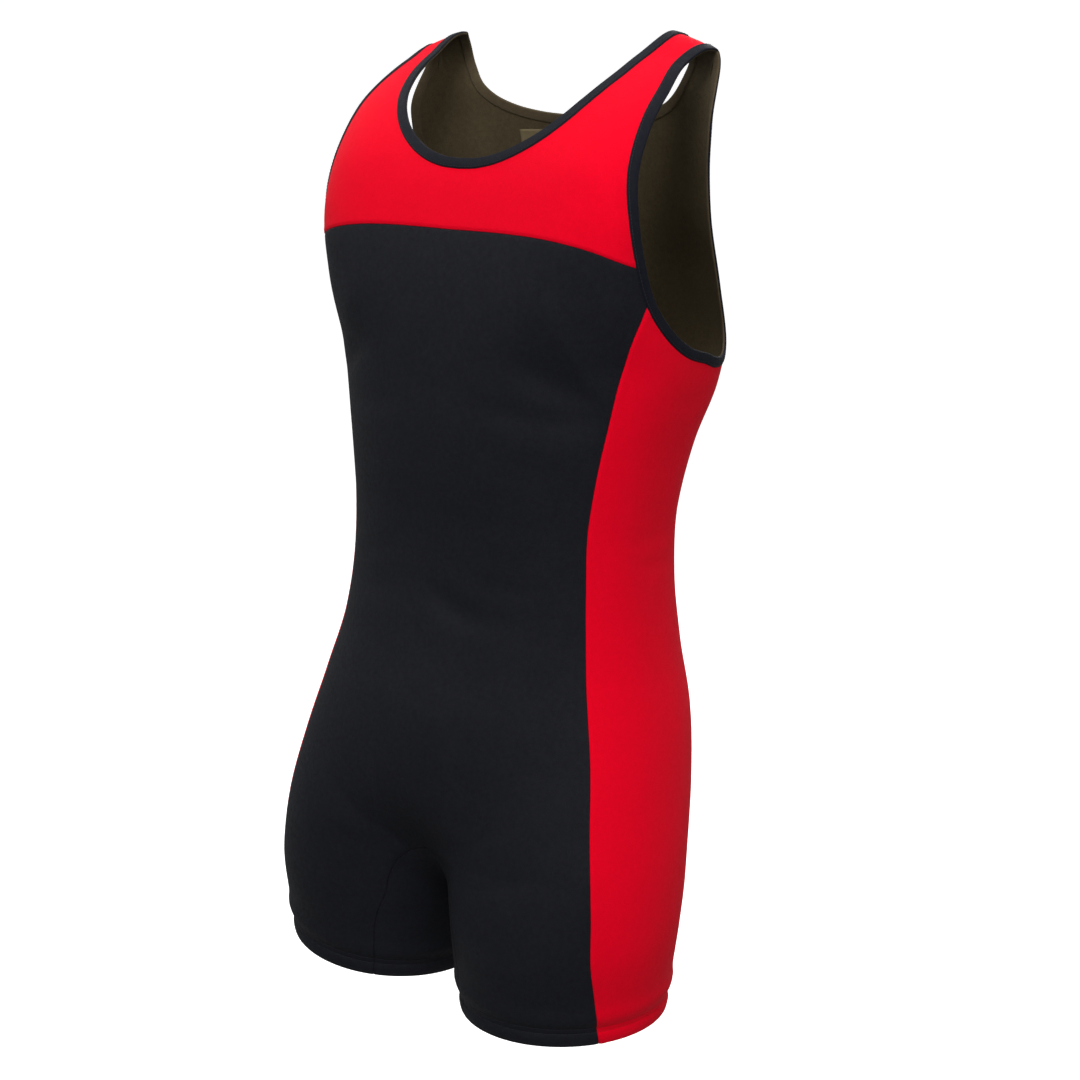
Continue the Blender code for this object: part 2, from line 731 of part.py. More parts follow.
EDGES, MARKS = outlines()
GRIDS = panel_grids(EDGES, MARKS)
for piece, tint in (("front_body", BLACK), ("front_yoke", RED), ("back", BLACK), ("gusset", BLACK)):
    add(piece, *wall(*both_halves(*surface_of(GRIDS[piece]))), tint, CLOTH_ROUGHNESS)
SIDE = surface_of(GRIDS["side"])
add("side_left", *wall(*SIDE), RED, CLOTH_ROUGHNESS)
add("side_right", *wall(*mirrored(*SIDE)), RED, CLOTH_ROUGHNESS)
add("neck_binding", *neck_band(EDGES, MARKS), BINDING_BLACK, BINDING_ROUGHNESS)
BAND, BAND_FACES = armhole_band(EDGES, MARKS)
OTHER_BAND, _, OTHER_FACES = mirrored(BAND, BAND, BAND_FACES)
add("armhole_binding_left", BAND, BAND_FACES, BINDING_BLACK, BINDING_ROUGHNESS)
add("armhole_binding_right", OTHER_BAND, OTHER_FACES, BINDING_BLACK, BINDING_ROUGHNESS)
LABEL_TOP = EDGES["neck"][1][0, 0] + LABEL_BELOW_BINDING
add("neck_label", *label_plate(LABEL_TOP, bpy.data.meshes["back"]), LABEL_COLOUR, LABEL_ROUGHNESS)
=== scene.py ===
"""Looks of a powerlifting singlet in its worn shape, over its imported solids. Lengths are in metres."""

import math

import bpy
import numpy as np
from mathutils import Matrix, Vector


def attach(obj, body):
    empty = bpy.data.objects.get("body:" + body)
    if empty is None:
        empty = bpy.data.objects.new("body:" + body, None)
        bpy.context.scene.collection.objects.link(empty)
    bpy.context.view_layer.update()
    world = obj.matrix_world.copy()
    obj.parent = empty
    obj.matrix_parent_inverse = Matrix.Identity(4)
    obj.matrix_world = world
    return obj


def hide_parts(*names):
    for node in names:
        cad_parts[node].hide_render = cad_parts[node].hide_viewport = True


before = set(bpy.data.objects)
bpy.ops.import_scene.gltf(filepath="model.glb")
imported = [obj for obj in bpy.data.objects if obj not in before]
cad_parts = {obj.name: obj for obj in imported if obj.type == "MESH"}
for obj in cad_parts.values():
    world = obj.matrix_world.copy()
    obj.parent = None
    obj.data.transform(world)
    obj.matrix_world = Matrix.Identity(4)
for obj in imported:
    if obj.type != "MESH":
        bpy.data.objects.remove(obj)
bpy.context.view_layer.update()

# The camera stands as the photograph's did: in front of the wearer's left side, a little above the chest
# and looking down. Its place and lens were worked out from the garment's outline.
CAMERA_PLACE = (0.87227, -1.18736, -0.0505)
CAMERA_HEADING = math.radians(36.7545)
CAMERA_DOWN = math.radians(15.0389)
CAMERA_ROLL = math.radians(1.4901)
CAMERA_LENS_MM = 54.47
SENSOR_MM = 36.0
CAMERA_NEAR = 0.05

ahead = np.array(
    [
        -math.sin(CAMERA_HEADING) * math.cos(CAMERA_DOWN),
        math.cos(CAMERA_HEADING) * math.cos(CAMERA_DOWN),
        -math.sin(CAMERA_DOWN),
    ]
)
level = np.array([math.cos(CAMERA_HEADING), math.sin(CAMERA_HEADING), 0.0])
upright = np.cross(level, ahead)
right = level * math.cos(CAMERA_ROLL) + upright * math.sin(CAMERA_ROLL)
above = upright * math.cos(CAMERA_ROLL) - level * math.sin(CAMERA_ROLL)
camera_data = bpy.data.cameras.new("camera")
camera_data.lens = CAMERA_LENS_MM
camera_data.sensor_width = SENSOR_MM
camera_data.clip_start = CAMERA_NEAR
camera = bpy.data.objects.new("camera", camera_data)
camera_axes = np.stack([right, above, -ahead], 1)
camera.matrix_world = Matrix(
    [[*map(float, row), place] for row, place in zip(camera_axes, CAMERA_PLACE)] + [[0, 0, 0, 1]]
)
bpy.context.scene.collection.objects.link(camera)
bpy.context.scene.camera = camera
bpy.context.scene.view_settings.view_transform = "Standard"
bpy.context.scene.view_settings.look = "None"

# A pale studio floor of matt paper that curves up into a far wall all round, lit by soft boxes and a white
# room. It stands well clear of the garment, which hangs free as if it were worn.
FLOOR_Z = -1.25
FLOOR_RADIUS = 3.2
WALL_CURVE = 1.2
WALL_TOP = 2.6
FLAT_SHARE, CURVE_SHARE, WALL_SHARE = 0.45, 0.35, 0.2
WHITE = (1.0, 1.0, 1.0, 1.0)
PAPER_COLOUR = (0.90, 0.90, 0.90, 1.0)
PAPER_GLOW = 0.66
ROOM_LIGHT = 0.22


def bowl(count_around, count_out):
    """Points of a flat disc whose rim turns up: radius and height follow a quarter circle, then rise."""
    turn = np.linspace(0, 2 * np.pi, count_around, endpoint=False)[None, :]
    share = np.linspace(0, 1, count_out)[:, None]
    bend = np.clip((share - FLAT_SHARE) / CURVE_SHARE, 0, 1) * np.pi / 2
    rise = np.clip((share - (1 - WALL_SHARE)) / WALL_SHARE, 0, 1) * WALL_TOP
    radius = np.minimum(share / FLAT_SHARE, 1) * FLOOR_RADIUS + WALL_CURVE * np.sin(bend)
    height = FLOOR_Z + WALL_CURVE * (1 - np.cos(bend)) + rise
    return np.stack([radius * np.cos(turn), radius * np.sin(turn), height + 0 * turn], -1)


def grid_faces(rows, columns, wrap=False):
    """Quads of a grid of points, row by row, with the last column joined to the first if it wraps."""
    index = np.arange(rows * columns).reshape(rows, columns)
    ahead_one = np.roll(index, -1, 1)
    if not wrap:
        index, ahead_one = index[:, :-1], ahead_one[:, :-1]
    return np.stack([index[:-1], index[1:], ahead_one[1:], ahead_one[:-1]], -1).reshape(-1, 4)


def new_piece(name, points, faces, material):
    """An object at the origin with these points and quads."""
    mesh = bpy.data.meshes.new(name)
    mesh.vertices.add(len(points))
    mesh.vertices.foreach_set("co", np.ascontiguousarray(points, np.float32).ravel())
    mesh.loops.add(faces.size)
    mesh.loops.foreach_set("vertex_index", faces.astype(np.int32).ravel())
    mesh.polygons.add(len(faces))
    mesh.polygons.foreach_set("loop_start", np.arange(len(faces), dtype=np.int32) * faces.shape[1])
    mesh.polygons.foreach_set("use_smooth", np.full(len(faces), True))
    mesh.update(calc_edges=True)
    mesh.validate()
    mesh.materials.append(material)
    piece = bpy.data.objects.new(name, mesh)
    bpy.context.scene.collection.objects.link(piece)
    return piece


def set_inputs(node, values):
    """Sets inputs of a node by their names."""
    for name, value in values.items():
        node.inputs[name].default_value = value


def new_material(name):
    """A material with nodes, its node tree and its shader."""
    material = bpy.data.materials.new(name)
    material.use_nodes = True
    return material, material.node_tree, material.node_tree.nodes["Principled BSDF"]


def studio_paper():
    """Matt white paper, lit a little from within so that it stays white all round the garment."""
    material, _, shader = new_material("studio_paper")
    set_inputs(shader, {"Base Color": PAPER_COLOUR, "Roughness": 0.9})
    set_inputs(shader, {"Emission Color": WHITE, "Emission Strength": PAPER_GLOW})
    return material


BOWL_AROUND, BOWL_OUT = 96, 64
bowl_points = bowl(BOWL_AROUND, BOWL_OUT).reshape(-1, 3)
floor = new_piece(
    "studio_floor",
    bowl_points,
    grid_faces(BOWL_OUT, BOWL_AROUND, wrap=True),
    studio_paper(),
)
floor.visible_diffuse = False
floor.visible_glossy = False

# name: place, power in watts, side of the square in metres
SOFT_BOXES = {
    "key": ((0.7, -2.1, 1.7), 56.0, 1.3),
    "fill": ((2.4, -1.1, 0.9), 24.0, 1.6),
    "over": ((-0.5, 0.1, 2.2), 34.0, 2.0),
    "behind": ((-0.6, 2.6, 0.9), 36.0, 1.8),
    "far_side": ((-2.5, 0.2, 0.9), 18.0, 1.6),
}
AIM = (0.0, -0.06, -0.42)
for box_name, (place, power, side) in SOFT_BOXES.items():
    light = bpy.data.lights.new(box_name, "AREA")
    light.energy = power
    light.size = side
    lamp = bpy.data.objects.new(box_name, light)
    facing = (Vector(AIM) - Vector(place)).to_track_quat("-Z", "Y")
    lamp.matrix_world = Matrix.Translation(place) @ facing.to_matrix().to_4x4()
    bpy.context.scene.collection.objects.link(lamp)

world = bpy.data.worlds.new("room")
world.use_nodes = True
set_inputs(world.node_tree.nodes["Background"], {"Color": WHITE, "Strength": ROOM_LIGHT})
bpy.context.scene.world = world

# Front panel: one piece of black stretch knit from the chest seam to both hems, with the fronts of both
# legs. It is cut to a close fit and stretched by the wearer, so it lies smooth with a few soft folds.
# The worn form and the seam lines that all the panels share are set out here first.
# HELD is the point that the garment is held at, in the measure of the sections below. Each leg tilts by
# LEG_TILT between two stations. From FIELD_FROM down, where the legs run together, the outward directions
# come from outside_body. TUCKED is how far in from a binding's free edge the panels end, under the binding.
HEM_STATION = 0.840
HELD_Y = 0.004
HELD_Z = -0.0012
LEG_TILT_X = 0.08
LEG_TILT_Y = -0.08
LEG_TILT_FROM = 0.72
LEG_TILT_TO = 0.80
FIELD_FROM = 0.42
SLOPE_STEP = 2e-4
LEG_REACH_MOST = 1.6
MIDDLE_DEPTH_MOST = 0.3
INSET_STEPS = 5
DENSE = 500
USUAL_RADIUS = 0.16
BINDING_WIDTH = 0.0095
TUCKED = 0.0045

# A row for each section, from the shoulder line down to below the hem. station: distance down the body.
# side: the widest point, front and back: the points on the middle plane. full: squareness of the quarter.
# leg_x: distance of a leg's axis from the middle plane. melt: how softly the two legs run together.
SECTION_COLUMNS = (
    "station", "side_x", "side_y", "side_z", "front_y", "front_z", "back_y", "back_z",
    "front_full", "back_full", "leg_x", "melt",
)
SECTIONS = (
    (0.000, 0.1700, 0.0040, -0.0296, 0.0040, 0.0170, 0.0040, 0.0170, 2.0, 2.0, 0.000, 0.000),
    (0.030, 0.1660, -0.0180, -0.0350, -0.0480, -0.0120, 0.0340, -0.0060, 2.8, 2.1, 0.000, 0.000),
    (0.060, 0.1660, -0.0340, -0.0620, -0.0880, -0.0400, 0.0340, -0.0350, 4.2, 2.25, 0.000, 0.000),
    (0.090, 0.1650, -0.0400, -0.0830, -0.1120, -0.0640, 0.0415, -0.0630, 5.4, 2.3, 0.000, 0.000),
    (0.120, 0.1650, -0.0440, -0.1070, -0.1340, -0.0960, 0.0505, -0.0935, 6.0, 2.25, 0.000, 0.000),
    (0.160, 0.1680, -0.0470, -0.1470, -0.1490, -0.1380, 0.0630, -0.1380, 6.0, 2.2, 0.000, 0.000),
    (0.210, 0.1710, -0.0450, -0.2020, -0.1590, -0.1980, 0.0770, -0.1980, 4.0, 2.5, 0.000, 0.000),
    (0.250, 0.1735, -0.0400, -0.2500, -0.1630, -0.2500, 0.0800, -0.2500, 2.7, 2.8, 0.000, 0.000),
    (0.280, 0.1700, -0.0420, -0.2800, -0.1640, -0.2800, 0.0770, -0.2800, 2.5, 2.8, 0.000, 0.000),
    (0.330, 0.1590, -0.0490, -0.3300, -0.1655, -0.3300, 0.0635, -0.3300, 2.5, 2.55, 0.000, 0.000),
    (0.390, 0.1510, -0.0550, -0.3900, -0.1640, -0.3900, 0.0480, -0.3900, 2.5, 2.5, 0.000, 0.000),
    (0.450, 0.1494, -0.0557, -0.4500, -0.1574, -0.4500, 0.0400, -0.4500, 2.5, 2.5, 0.010, 0.040),
    (0.510, 0.1593, -0.0575, -0.5100, -0.1614, -0.5100, 0.0444, -0.5100, 2.4, 2.4, 0.030, 0.080),
    (0.570, 0.1764, -0.0664, -0.5700, -0.1777, -0.5700, 0.0519, -0.5700, 2.3, 2.3, 0.0507, 0.100),
    (0.630, 0.1898, -0.0821, -0.6300, -0.1931, -0.6300, 0.0419, -0.6300, 2.2, 2.2, 0.0717, 0.090),
    (0.690, 0.2008, -0.0956, -0.6900, -0.2024, -0.6900, 0.0182, -0.6900, 2.1, 2.1, 0.0955, 0.070),
    (0.720, 0.2036, -0.0998, -0.7200, -0.2047, -0.7200, 0.0095, -0.7200, 2.1, 2.1, 0.1010, 0.048),
    (0.750, 0.2048, -0.1030, -0.7500, -0.2065, -0.7500, 0.0025, -0.7500, 2.05, 2.05, 0.1036, 0.012),
    (0.810, 0.1999, -0.1027, -0.8100, -0.2024, -0.8100, -0.0030, -0.8100, 2.0, 2.0, 0.1042, 0.006),
    (0.870, 0.1918, -0.0985, -0.8700, -0.1947, -0.8700, -0.0043, -0.8700, 2.0, 2.0, 0.1054, 0.004),
)
HEIGHT_COLUMNS = ("side_z", "front_z", "back_z")

# The bound edges. A row for each place on the line: station, turn in degrees. A negative station has
# passed over the shoulder, onto the front.
NECK_EDGE = (
    (0.0900, 180.0), (0.0893, 171.0), (0.0865, 162.0), (0.0805, 154.0), (0.0710, 147.5),
    (0.0590, 142.8), (0.0460, 139.2), (0.0324, 136.5), (0.0120, 137.5), (0.0000, 139.6),
    (-0.0150, 141.6), (-0.0300, 144.2), (-0.0440, 146.4), (-0.0575, 148.7), (-0.0735, 151.0),
    (-0.0865, 153.2), (-0.0990, 156.8), (-0.1095, 162.0), (-0.1175, 168.5), (-0.1210, 174.0),
    (-0.1220, 180.0),
)
ARMHOLE_EDGE = (
    (0.2500, 99.0), (0.2550, 108.0), (0.2545, 115.5), (0.2480, 120.5), (0.2355, 122.0),
    (0.2180, 120.2), (0.1950, 118.0), (0.1600, 115.5), (0.1300, 112.5), (0.0954, 108.2),
    (0.0554, 107.0), (0.0300, 110.0), (0.0120, 113.5), (0.0000, 116.2), (-0.0130, 120.5),
    (-0.0325, 125.3), (-0.0580, 127.5), (-0.0900, 128.8), (-0.1145, 128.5), (-0.1300, 128.0),
    (-0.1565, 126.0), (-0.1835, 122.0), (-0.2110, 115.5), (-0.2310, 105.5), (-0.2430, 94.5),
    (-0.2500, 81.0),
)
# Station of the yoke seam at each turn.
YOKE_SEAM = (
    (0.0, 0.1742), (10.0, 0.1740), (20.0, 0.1742), (30.0, 0.1757), (36.0, 0.1780),
    (42.0, 0.1815), (48.0, 0.1860), (54.0, 0.1895), (64.0, 0.1930),
)
# Turn of each seam at each station.
SIDE_SEAM_FRONT = (
    (0.190, 67.0), (0.216, 61.0), (0.235, 57.0), (0.260, 55.1), (0.320, 54.7),
    (0.380, 54.0), (0.450, 52.0), (0.520, 49.7), (0.600, 50.0), (0.700, 48.5),
    (0.760, 49.5), (0.800, 53.0), (0.840, 56.6),
)
SIDE_SEAM_BACK = (
    (0.190, 116.0), (0.235, 124.0), (0.270, 128.0), (0.380, 130.0), (0.500, 131.5),
    (0.620, 132.0), (0.720, 131.0), (0.840, 126.0),
)
# Station where each inner leg seam starts on the middle plane, then its turn at each station below.
INNER_FRONT_TOP = 0.695
INNER_BACK_TOP = 0.735
INNER_SEAM_FRONT = (
    (0.7136, -43.2), (0.7239, -40.9), (0.7507, -39.3), (0.7683, -36.2), (0.7819, -34.6),
    (0.8228, -33.7), (0.8400, -33.5),
)
INNER_SEAM_BACK = (
    (0.7500, 240.0), (0.7700, 231.0), (0.8000, 226.0), (0.8400, 224.0),
)


def through(at, known, values, flat_start=False):
    """Smooth curve through the values of a table, read at the places given."""
    known = np.asarray(known, float)
    values = np.asarray(values, float)
    at = np.clip(at, known[0], known[-1])
    span = np.diff(known)
    slope = np.diff(values) / span
    lean = np.empty_like(values)
    lean[1:-1] = (slope[:-1] * span[1:] + slope[1:] * span[:-1]) / (span[1:] + span[:-1])
    lean[0] = 0.0 if flat_start else slope[0]
    lean[-1] = slope[-1]
    k = np.clip(np.searchsorted(known, at, side="right") - 1, 0, len(span) - 1)
    t = (at - known[k]) / span[k]
    return (
        (1 + 2 * t) * (1 - t) ** 2 * values[k]
        + t * (1 - t) ** 2 * span[k] * lean[k]
        + t * t * (3 - 2 * t) * values[k + 1]
        + t * t * (t - 1) * span[k] * lean[k + 1]
    )


def eased(share):
    """A rise from nought to one that starts and ends softly, and stays level beyond both."""
    share = np.clip(share, 0, 1)
    return share * share * (3 - 2 * share)


def unit(vectors):
    """The same directions, each with a length of one."""
    return vectors / np.linalg.norm(vectors, axis=-1, keepdims=True)


def section(station):
    """Every column of the table at these stations, by name."""
    table = np.array(SECTIONS)
    found = {
        name: through(station, table[:, 0], table[:, i], name in HEIGHT_COLUMNS)
        for i, name in enumerate(SECTION_COLUMNS)
    }
    found["leg_x"] = np.maximum(found["leg_x"], 0.0)
    return found


def outside_leg(x, y, s, axis_x):
    """How far a point lies outside one rounded leg section, negative inside."""
    dx = x - axis_x
    dy = y - s["side_y"]
    front = dy < 0
    depth = np.where(front, s["side_y"] - s["front_y"], s["back_y"] - s["side_y"])
    full = np.where(front, s["front_full"], s["back_full"])
    half = s["side_x"] - s["leg_x"]
    ratio = (np.abs(dx / half) ** full + np.abs(dy / np.maximum(depth, 1e-6)) ** full) ** (1 / full)
    return np.hypot(dx, dy) * (1 - 1 / np.maximum(ratio, 1e-6))


def outside_body(x, y, s):
    """The same for both legs run softly together."""
    one = outside_leg(x, y, s, s["leg_x"])
    other = outside_leg(x, y, s, -s["leg_x"])
    melt = np.maximum(s["melt"], 1e-6)
    near = np.maximum(melt - np.abs(one - other), 0) / melt
    return np.minimum(one, other) - near * near * melt / 4


def root_between(low, high, is_outside, steps=30):
    """The place between low and high where the body's surface is crossed."""
    for _ in range(steps):
        middle = (low + high) / 2
        out = is_outside(middle)
        high = np.where(out, middle, high)
        low = np.where(out, low, middle)
    return (low + high) / 2


def skin(station, turn):
    """Point of the worn form. turn is 0 at the front, a quarter at the side, a half at the back.

    A station above the shoulder line is on the other face, so that a line can run over the shoulder.
    """
    station, turn = np.broadcast_arrays(np.atleast_1d(station).astype(float), turn)
    over = station < 0
    turn = np.where(over, np.pi - turn, turn)
    station = np.abs(station)
    s = section(station)
    front = np.cos(turn) > 0
    full = np.where(front, s["front_full"], s["back_full"])
    reach_x = (s["side_x"] - s["leg_x"]) * np.sin(turn)
    depth = np.where(front, s["side_y"] - s["front_y"], s["back_y"] - s["side_y"])
    reach_y = -depth * np.cos(turn)
    share = (np.abs(np.sin(turn)) ** full + np.abs(np.cos(turn)) ** full) ** (-1 / full)
    legs = np.nonzero(s["leg_x"] > 1e-6)
    if len(legs[0]):
        part = {name: values[legs] for name, values in s.items()}
        ax = reach_x[legs]
        ay = reach_y[legs]
        most = np.full(ax.shape, LEG_REACH_MOST)
        inward = ax < -1e-9
        most[inward] = np.minimum(LEG_REACH_MOST, part["leg_x"][inward] / -ax[inward])
        share[legs] = root_between(
            np.zeros(ax.shape),
            most,
            lambda m: outside_body(part["leg_x"] + m * ax, part["side_y"] + m * ay, part) > 0,
        )
    x = s["leg_x"] + share * reach_x
    y = s["side_y"] + share * reach_y
    weight = share * np.abs(np.cos(turn))
    far_z = np.where(front, s["front_z"], s["back_z"])
    z = s["side_z"] + (far_z - s["side_z"]) * weight
    tilt = eased((station - LEG_TILT_FROM) / (LEG_TILT_TO - LEG_TILT_FROM))
    z = z + tilt * (LEG_TILT_X * (x - s["leg_x"]) + LEG_TILT_Y * (y - s["side_y"]))
    return np.stack([x, y - HELD_Y, z - HELD_Z], -1)


def middle_turns(station):
    """Turns where the half section starts and ends: on the middle plane, or at the inner leg below it."""
    s = section(np.atleast_1d(station).astype(float))
    zero = np.zeros(s["side_x"].shape)
    joined = outside_body(zero, s["side_y"], s) < 0
    turns = []
    for way, depth in ((-1, s["side_y"] - s["front_y"]), (1, s["back_y"] - s["side_y"])):
        reach = root_between(
            zero, zero + MIDDLE_DEPTH_MOST, lambda m: outside_body(zero, s["side_y"] + way * m, s) > 0
        )
        angle = np.arctan2(s["leg_x"] / (s["side_x"] - s["leg_x"]), reach / np.maximum(depth, 1e-6))
        turns.append(np.where(joined, angle, np.pi / 2))
    return -turns[0], np.pi + turns[1]


def slopes(station, turn):
    """How the point of the form moves with the station and with the turn."""
    step, wide = SLOPE_STEP, 10 * SLOPE_STEP
    along = (skin(station + step, turn) - skin(station - step, turn)) / (2 * step)
    around = (skin(station, turn + wide) - skin(station, turn - wide)) / (2 * wide)
    return along, around


def outward(station, turn):
    """Unit normals of the form, out of the body."""
    station, turn = np.broadcast_arrays(np.atleast_1d(station).astype(float), turn)
    along, around = slopes(station, turn)
    normal = np.cross(along, around)
    low = np.nonzero(station > FIELD_FROM)
    if len(low[0]):
        point = skin(station[low], turn[low]) + np.array([0.0, HELD_Y, HELD_Z])
        step = SLOPE_STEP

        def out_at(dx, dy, dz):
            s = section(station[low] - dz)
            return outside_body(point[..., 0] + dx, point[..., 1] + dy, s)

        normal[low] = np.stack(
            [
                out_at(step, 0, 0) - out_at(-step, 0, 0),
                out_at(0, step, 0) - out_at(0, -step, 0),
                out_at(0, 0, step) - out_at(0, 0, -step),
            ],
            -1,
        )
    return unit(normal)


def spline(rows, count):
    """Dense smooth line through rows of (station, turn in radians)."""
    rows = np.array(rows, float)
    rows[:, 1] = np.radians(rows[:, 1])
    steps = np.hypot(np.diff(rows[:, 0]), USUAL_RADIUS * np.diff(rows[:, 1]))
    known = np.concatenate([[0], np.cumsum(steps)])
    at = np.linspace(0, known[-1], count)
    return np.stack([through(at, known, rows[:, 0]), through(at, known, rows[:, 1])], -1)


def run_along(points):
    """Distance run along a line of points, from nought at its start."""
    return np.concatenate([[0], np.cumsum(np.linalg.norm(np.diff(points, axis=0), axis=1))])


def lengths(path):
    """Distance run along a line of (station, turn), measured on the body."""
    return run_along(skin(path[:, 0], path[:, 1]))


def read_at(at, run, rows):
    """A line's rows read at places along its run, straight between its points."""
    return np.stack([np.interp(at, run, column) for column in rows.T], -1)


def inset(path, width, closed):
    """The line moved over the body by the width, to the left of its run.

    Each of a few equal steps sideways is split into its shares along the two slopes of the form there.
    """
    moved = path.copy()
    points = skin(path[:, 0], path[:, 1])
    if closed:
        run = np.roll(points[:-1], -1, 0) - np.roll(points[:-1], 1, 0)
        run = np.concatenate([run, run[:1]])
    else:
        run = np.gradient(points, axis=0)
        run[0, 1:] = 0
        run[-1, 1:] = 0
    along, around = slopes(path[:, 0], path[:, 1])
    normal = np.cross(around, along)
    aim = unit(np.cross(normal, run))
    for _ in range(INSET_STEPS):
        along, around = slopes(moved[:, 0], moved[:, 1])
        a = np.sum(along * along, 1)
        b = np.sum(along * around, 1)
        c = np.sum(around * around, 1)
        p = np.sum(along * aim, 1) * width / INSET_STEPS
        q = np.sum(around * aim, 1) * width / INSET_STEPS
        det = a * c - b * b
        moved[:, 0] += (c * p - b * q) / det
        moved[:, 1] += (a * q - b * p) / det
    return moved


def faced(path):
    """Lines with stations past the shoulder put back on the face that they lie on."""
    over = path[:, :1] < 0
    return np.where(over, np.stack([-path[:, 0], np.pi - path[:, 1]], -1), path)


def crossing(gap):
    """Index, with its fraction, where the values first change sign."""
    k = np.nonzero(gap[:-1] * gap[1:] <= 0)[0][0]
    return k + gap[k] / (gap[k] - gap[k + 1])


def at_index(path, index):
    """Points of a line at fractional indices."""
    return read_at(index, np.arange(len(path)), path)


def seam_turn(rows, station):
    """Turn of a seam at each station, on a smooth curve through its table."""
    rows = np.array(rows)
    return np.radians(through(station, rows[:, 0], rows[:, 1]))


def yoke_station(turn):
    """Station of the yoke seam at each turn, on a smooth curve through its table."""
    rows = np.array(YOKE_SEAM)
    return through(np.degrees(turn), rows[:, 0], rows[:, 1])


def down(start, end, turn_at):
    """A line from one station to another, with the turn that a function gives."""
    station = np.linspace(start, end, DENSE)
    return np.stack([station, turn_at(station)], -1)


def chained(*paths):
    """Lines joined end to end, each already divided."""
    return np.concatenate([paths[0]] + [path[1:] for path in paths[1:]])


def middle_line(start, end, back):
    """The line on the middle plane between two stations, on the front or the back."""
    return down(start, end, lambda station: middle_turns(station)[1 if back else 0])


def inner_line(top, rows, back):
    """The inner leg seam, from its start on the middle plane to the hem."""
    start = middle_turns(top)[1 if back else 0]
    known = [(top, float(np.degrees(start[0])))] + list(rows)
    return down(top, HEM_STATION, lambda station: seam_turn(known, station))


def hem_line(start, end):
    """The hem's lower edge between two turns, all at one station."""
    turn = np.linspace(start, end, DENSE)
    return np.stack([np.full(DENSE, HEM_STATION), turn], -1)


def bound_lines(width):
    """Where the panels meet an edge line moved in by a width: named stretches of (station, turn)."""
    neck = spline(NECK_EDGE, DENSE)
    neck_in = inset(neck, -width, False)
    neck_in[0, 1] = np.pi
    neck_in[-1, 1] = np.pi
    armhole = spline(ARMHOLE_EDGE, 2 * DENSE)
    armhole_in = inset(armhole, width, True)
    canonical = faced(armhole_in)
    station, turn = canonical.T
    last = len(station) - 1
    ridge = crossing(armhole_in[:, 0])
    past = np.arange(last + 1) > ridge
    to_front_seam = np.where(past, turn - seam_turn(SIDE_SEAM_FRONT, station), 1.0)
    to_yoke_seam = np.where(past, station - yoke_station(turn), 1.0)
    to_back_seam = np.where(past, 1.0, turn - seam_turn(SIDE_SEAM_BACK, station))
    front_end = last - crossing(to_front_seam[::-1])
    yoke_end = last - crossing(to_yoke_seam[::-1])
    back_end = crossing(to_back_seam)
    over = crossing(neck_in[:, 0])

    def stretch(path, start, end):
        return faced(at_index(path, np.linspace(start, end, DENSE)))

    around = np.concatenate([np.linspace(front_end, last, DENSE), np.linspace(0, back_end, DENSE)[1:]])
    return {
        "neck_back": stretch(neck_in, over - 1e-6, 0),
        "neck_front": stretch(neck_in, over + 1e-6, len(neck_in) - 1),
        "arm_back": stretch(armhole_in, ridge - 1e-6, back_end),
        "arm_yoke": stretch(armhole_in, ridge + 1e-6, yoke_end),
        "arm_front": stretch(armhole_in, yoke_end, front_end),
        "arm_side": faced(at_index(armhole_in, around)),
        "neck": (neck, neck_in),
        "armhole": (armhole, armhole_in),
    }


def line_at(path, share):
    """The point at a share of a line's length on the body, for a whole array of shares."""
    run = lengths(path)
    return read_at(np.clip(share, 0, 1) * run[-1], run, path)


def spanned(left, right, top, bottom, r, c):
    """Blend of four lines at r down and c across: the two sides plus the two ends minus the corners."""
    down_share, across_share = r[..., None], c[..., None]
    sides = (1 - across_share) * line_at(left, r) + across_share * line_at(right, r)
    ends = (1 - down_share) * line_at(top, c) + down_share * line_at(bottom, c)
    upper = (1 - across_share) * top[0] + across_share * top[-1]
    lower = (1 - across_share) * bottom[0] + across_share * bottom[-1]
    return sides + ends - (1 - down_share) * upper - down_share * lower


# Distances from an edge at which a panel has rows of points: at a seam, at the hem and at a bound edge.
SEAM_STEPS = np.array([0.0, 0.0003, 0.0007, 0.0012, 0.0020, 0.0032, 0.0050])
HEM_STEPS = np.concatenate(
    [
        [0.0, 0.0003, 0.0007, 0.0013, 0.0024, 0.0045, 0.0070, 0.0095],
        np.arange(0.0110, 0.0202, 0.0005),
        [0.0215, 0.0245],
    ]
)
PLAIN_STEPS = np.array([0.0])
MESH_SIZE = 0.0040
COARSE_GRID = 60


def spread(near, far, length):
    """Shares of a length with the near steps at its start, the far steps at its end, even ones between."""
    length = length[..., None]
    count = max(2, int(round((float(length.max()) - near[-1] - far[-1]) / MESH_SIZE)))
    between = np.linspace(0, 1, count + 1)[1:-1]
    middle = near[-1] + between * (length - near[-1] - far[-1])
    places = np.concatenate([near + 0 * length, middle, length - far[::-1]], -1)
    return places / length


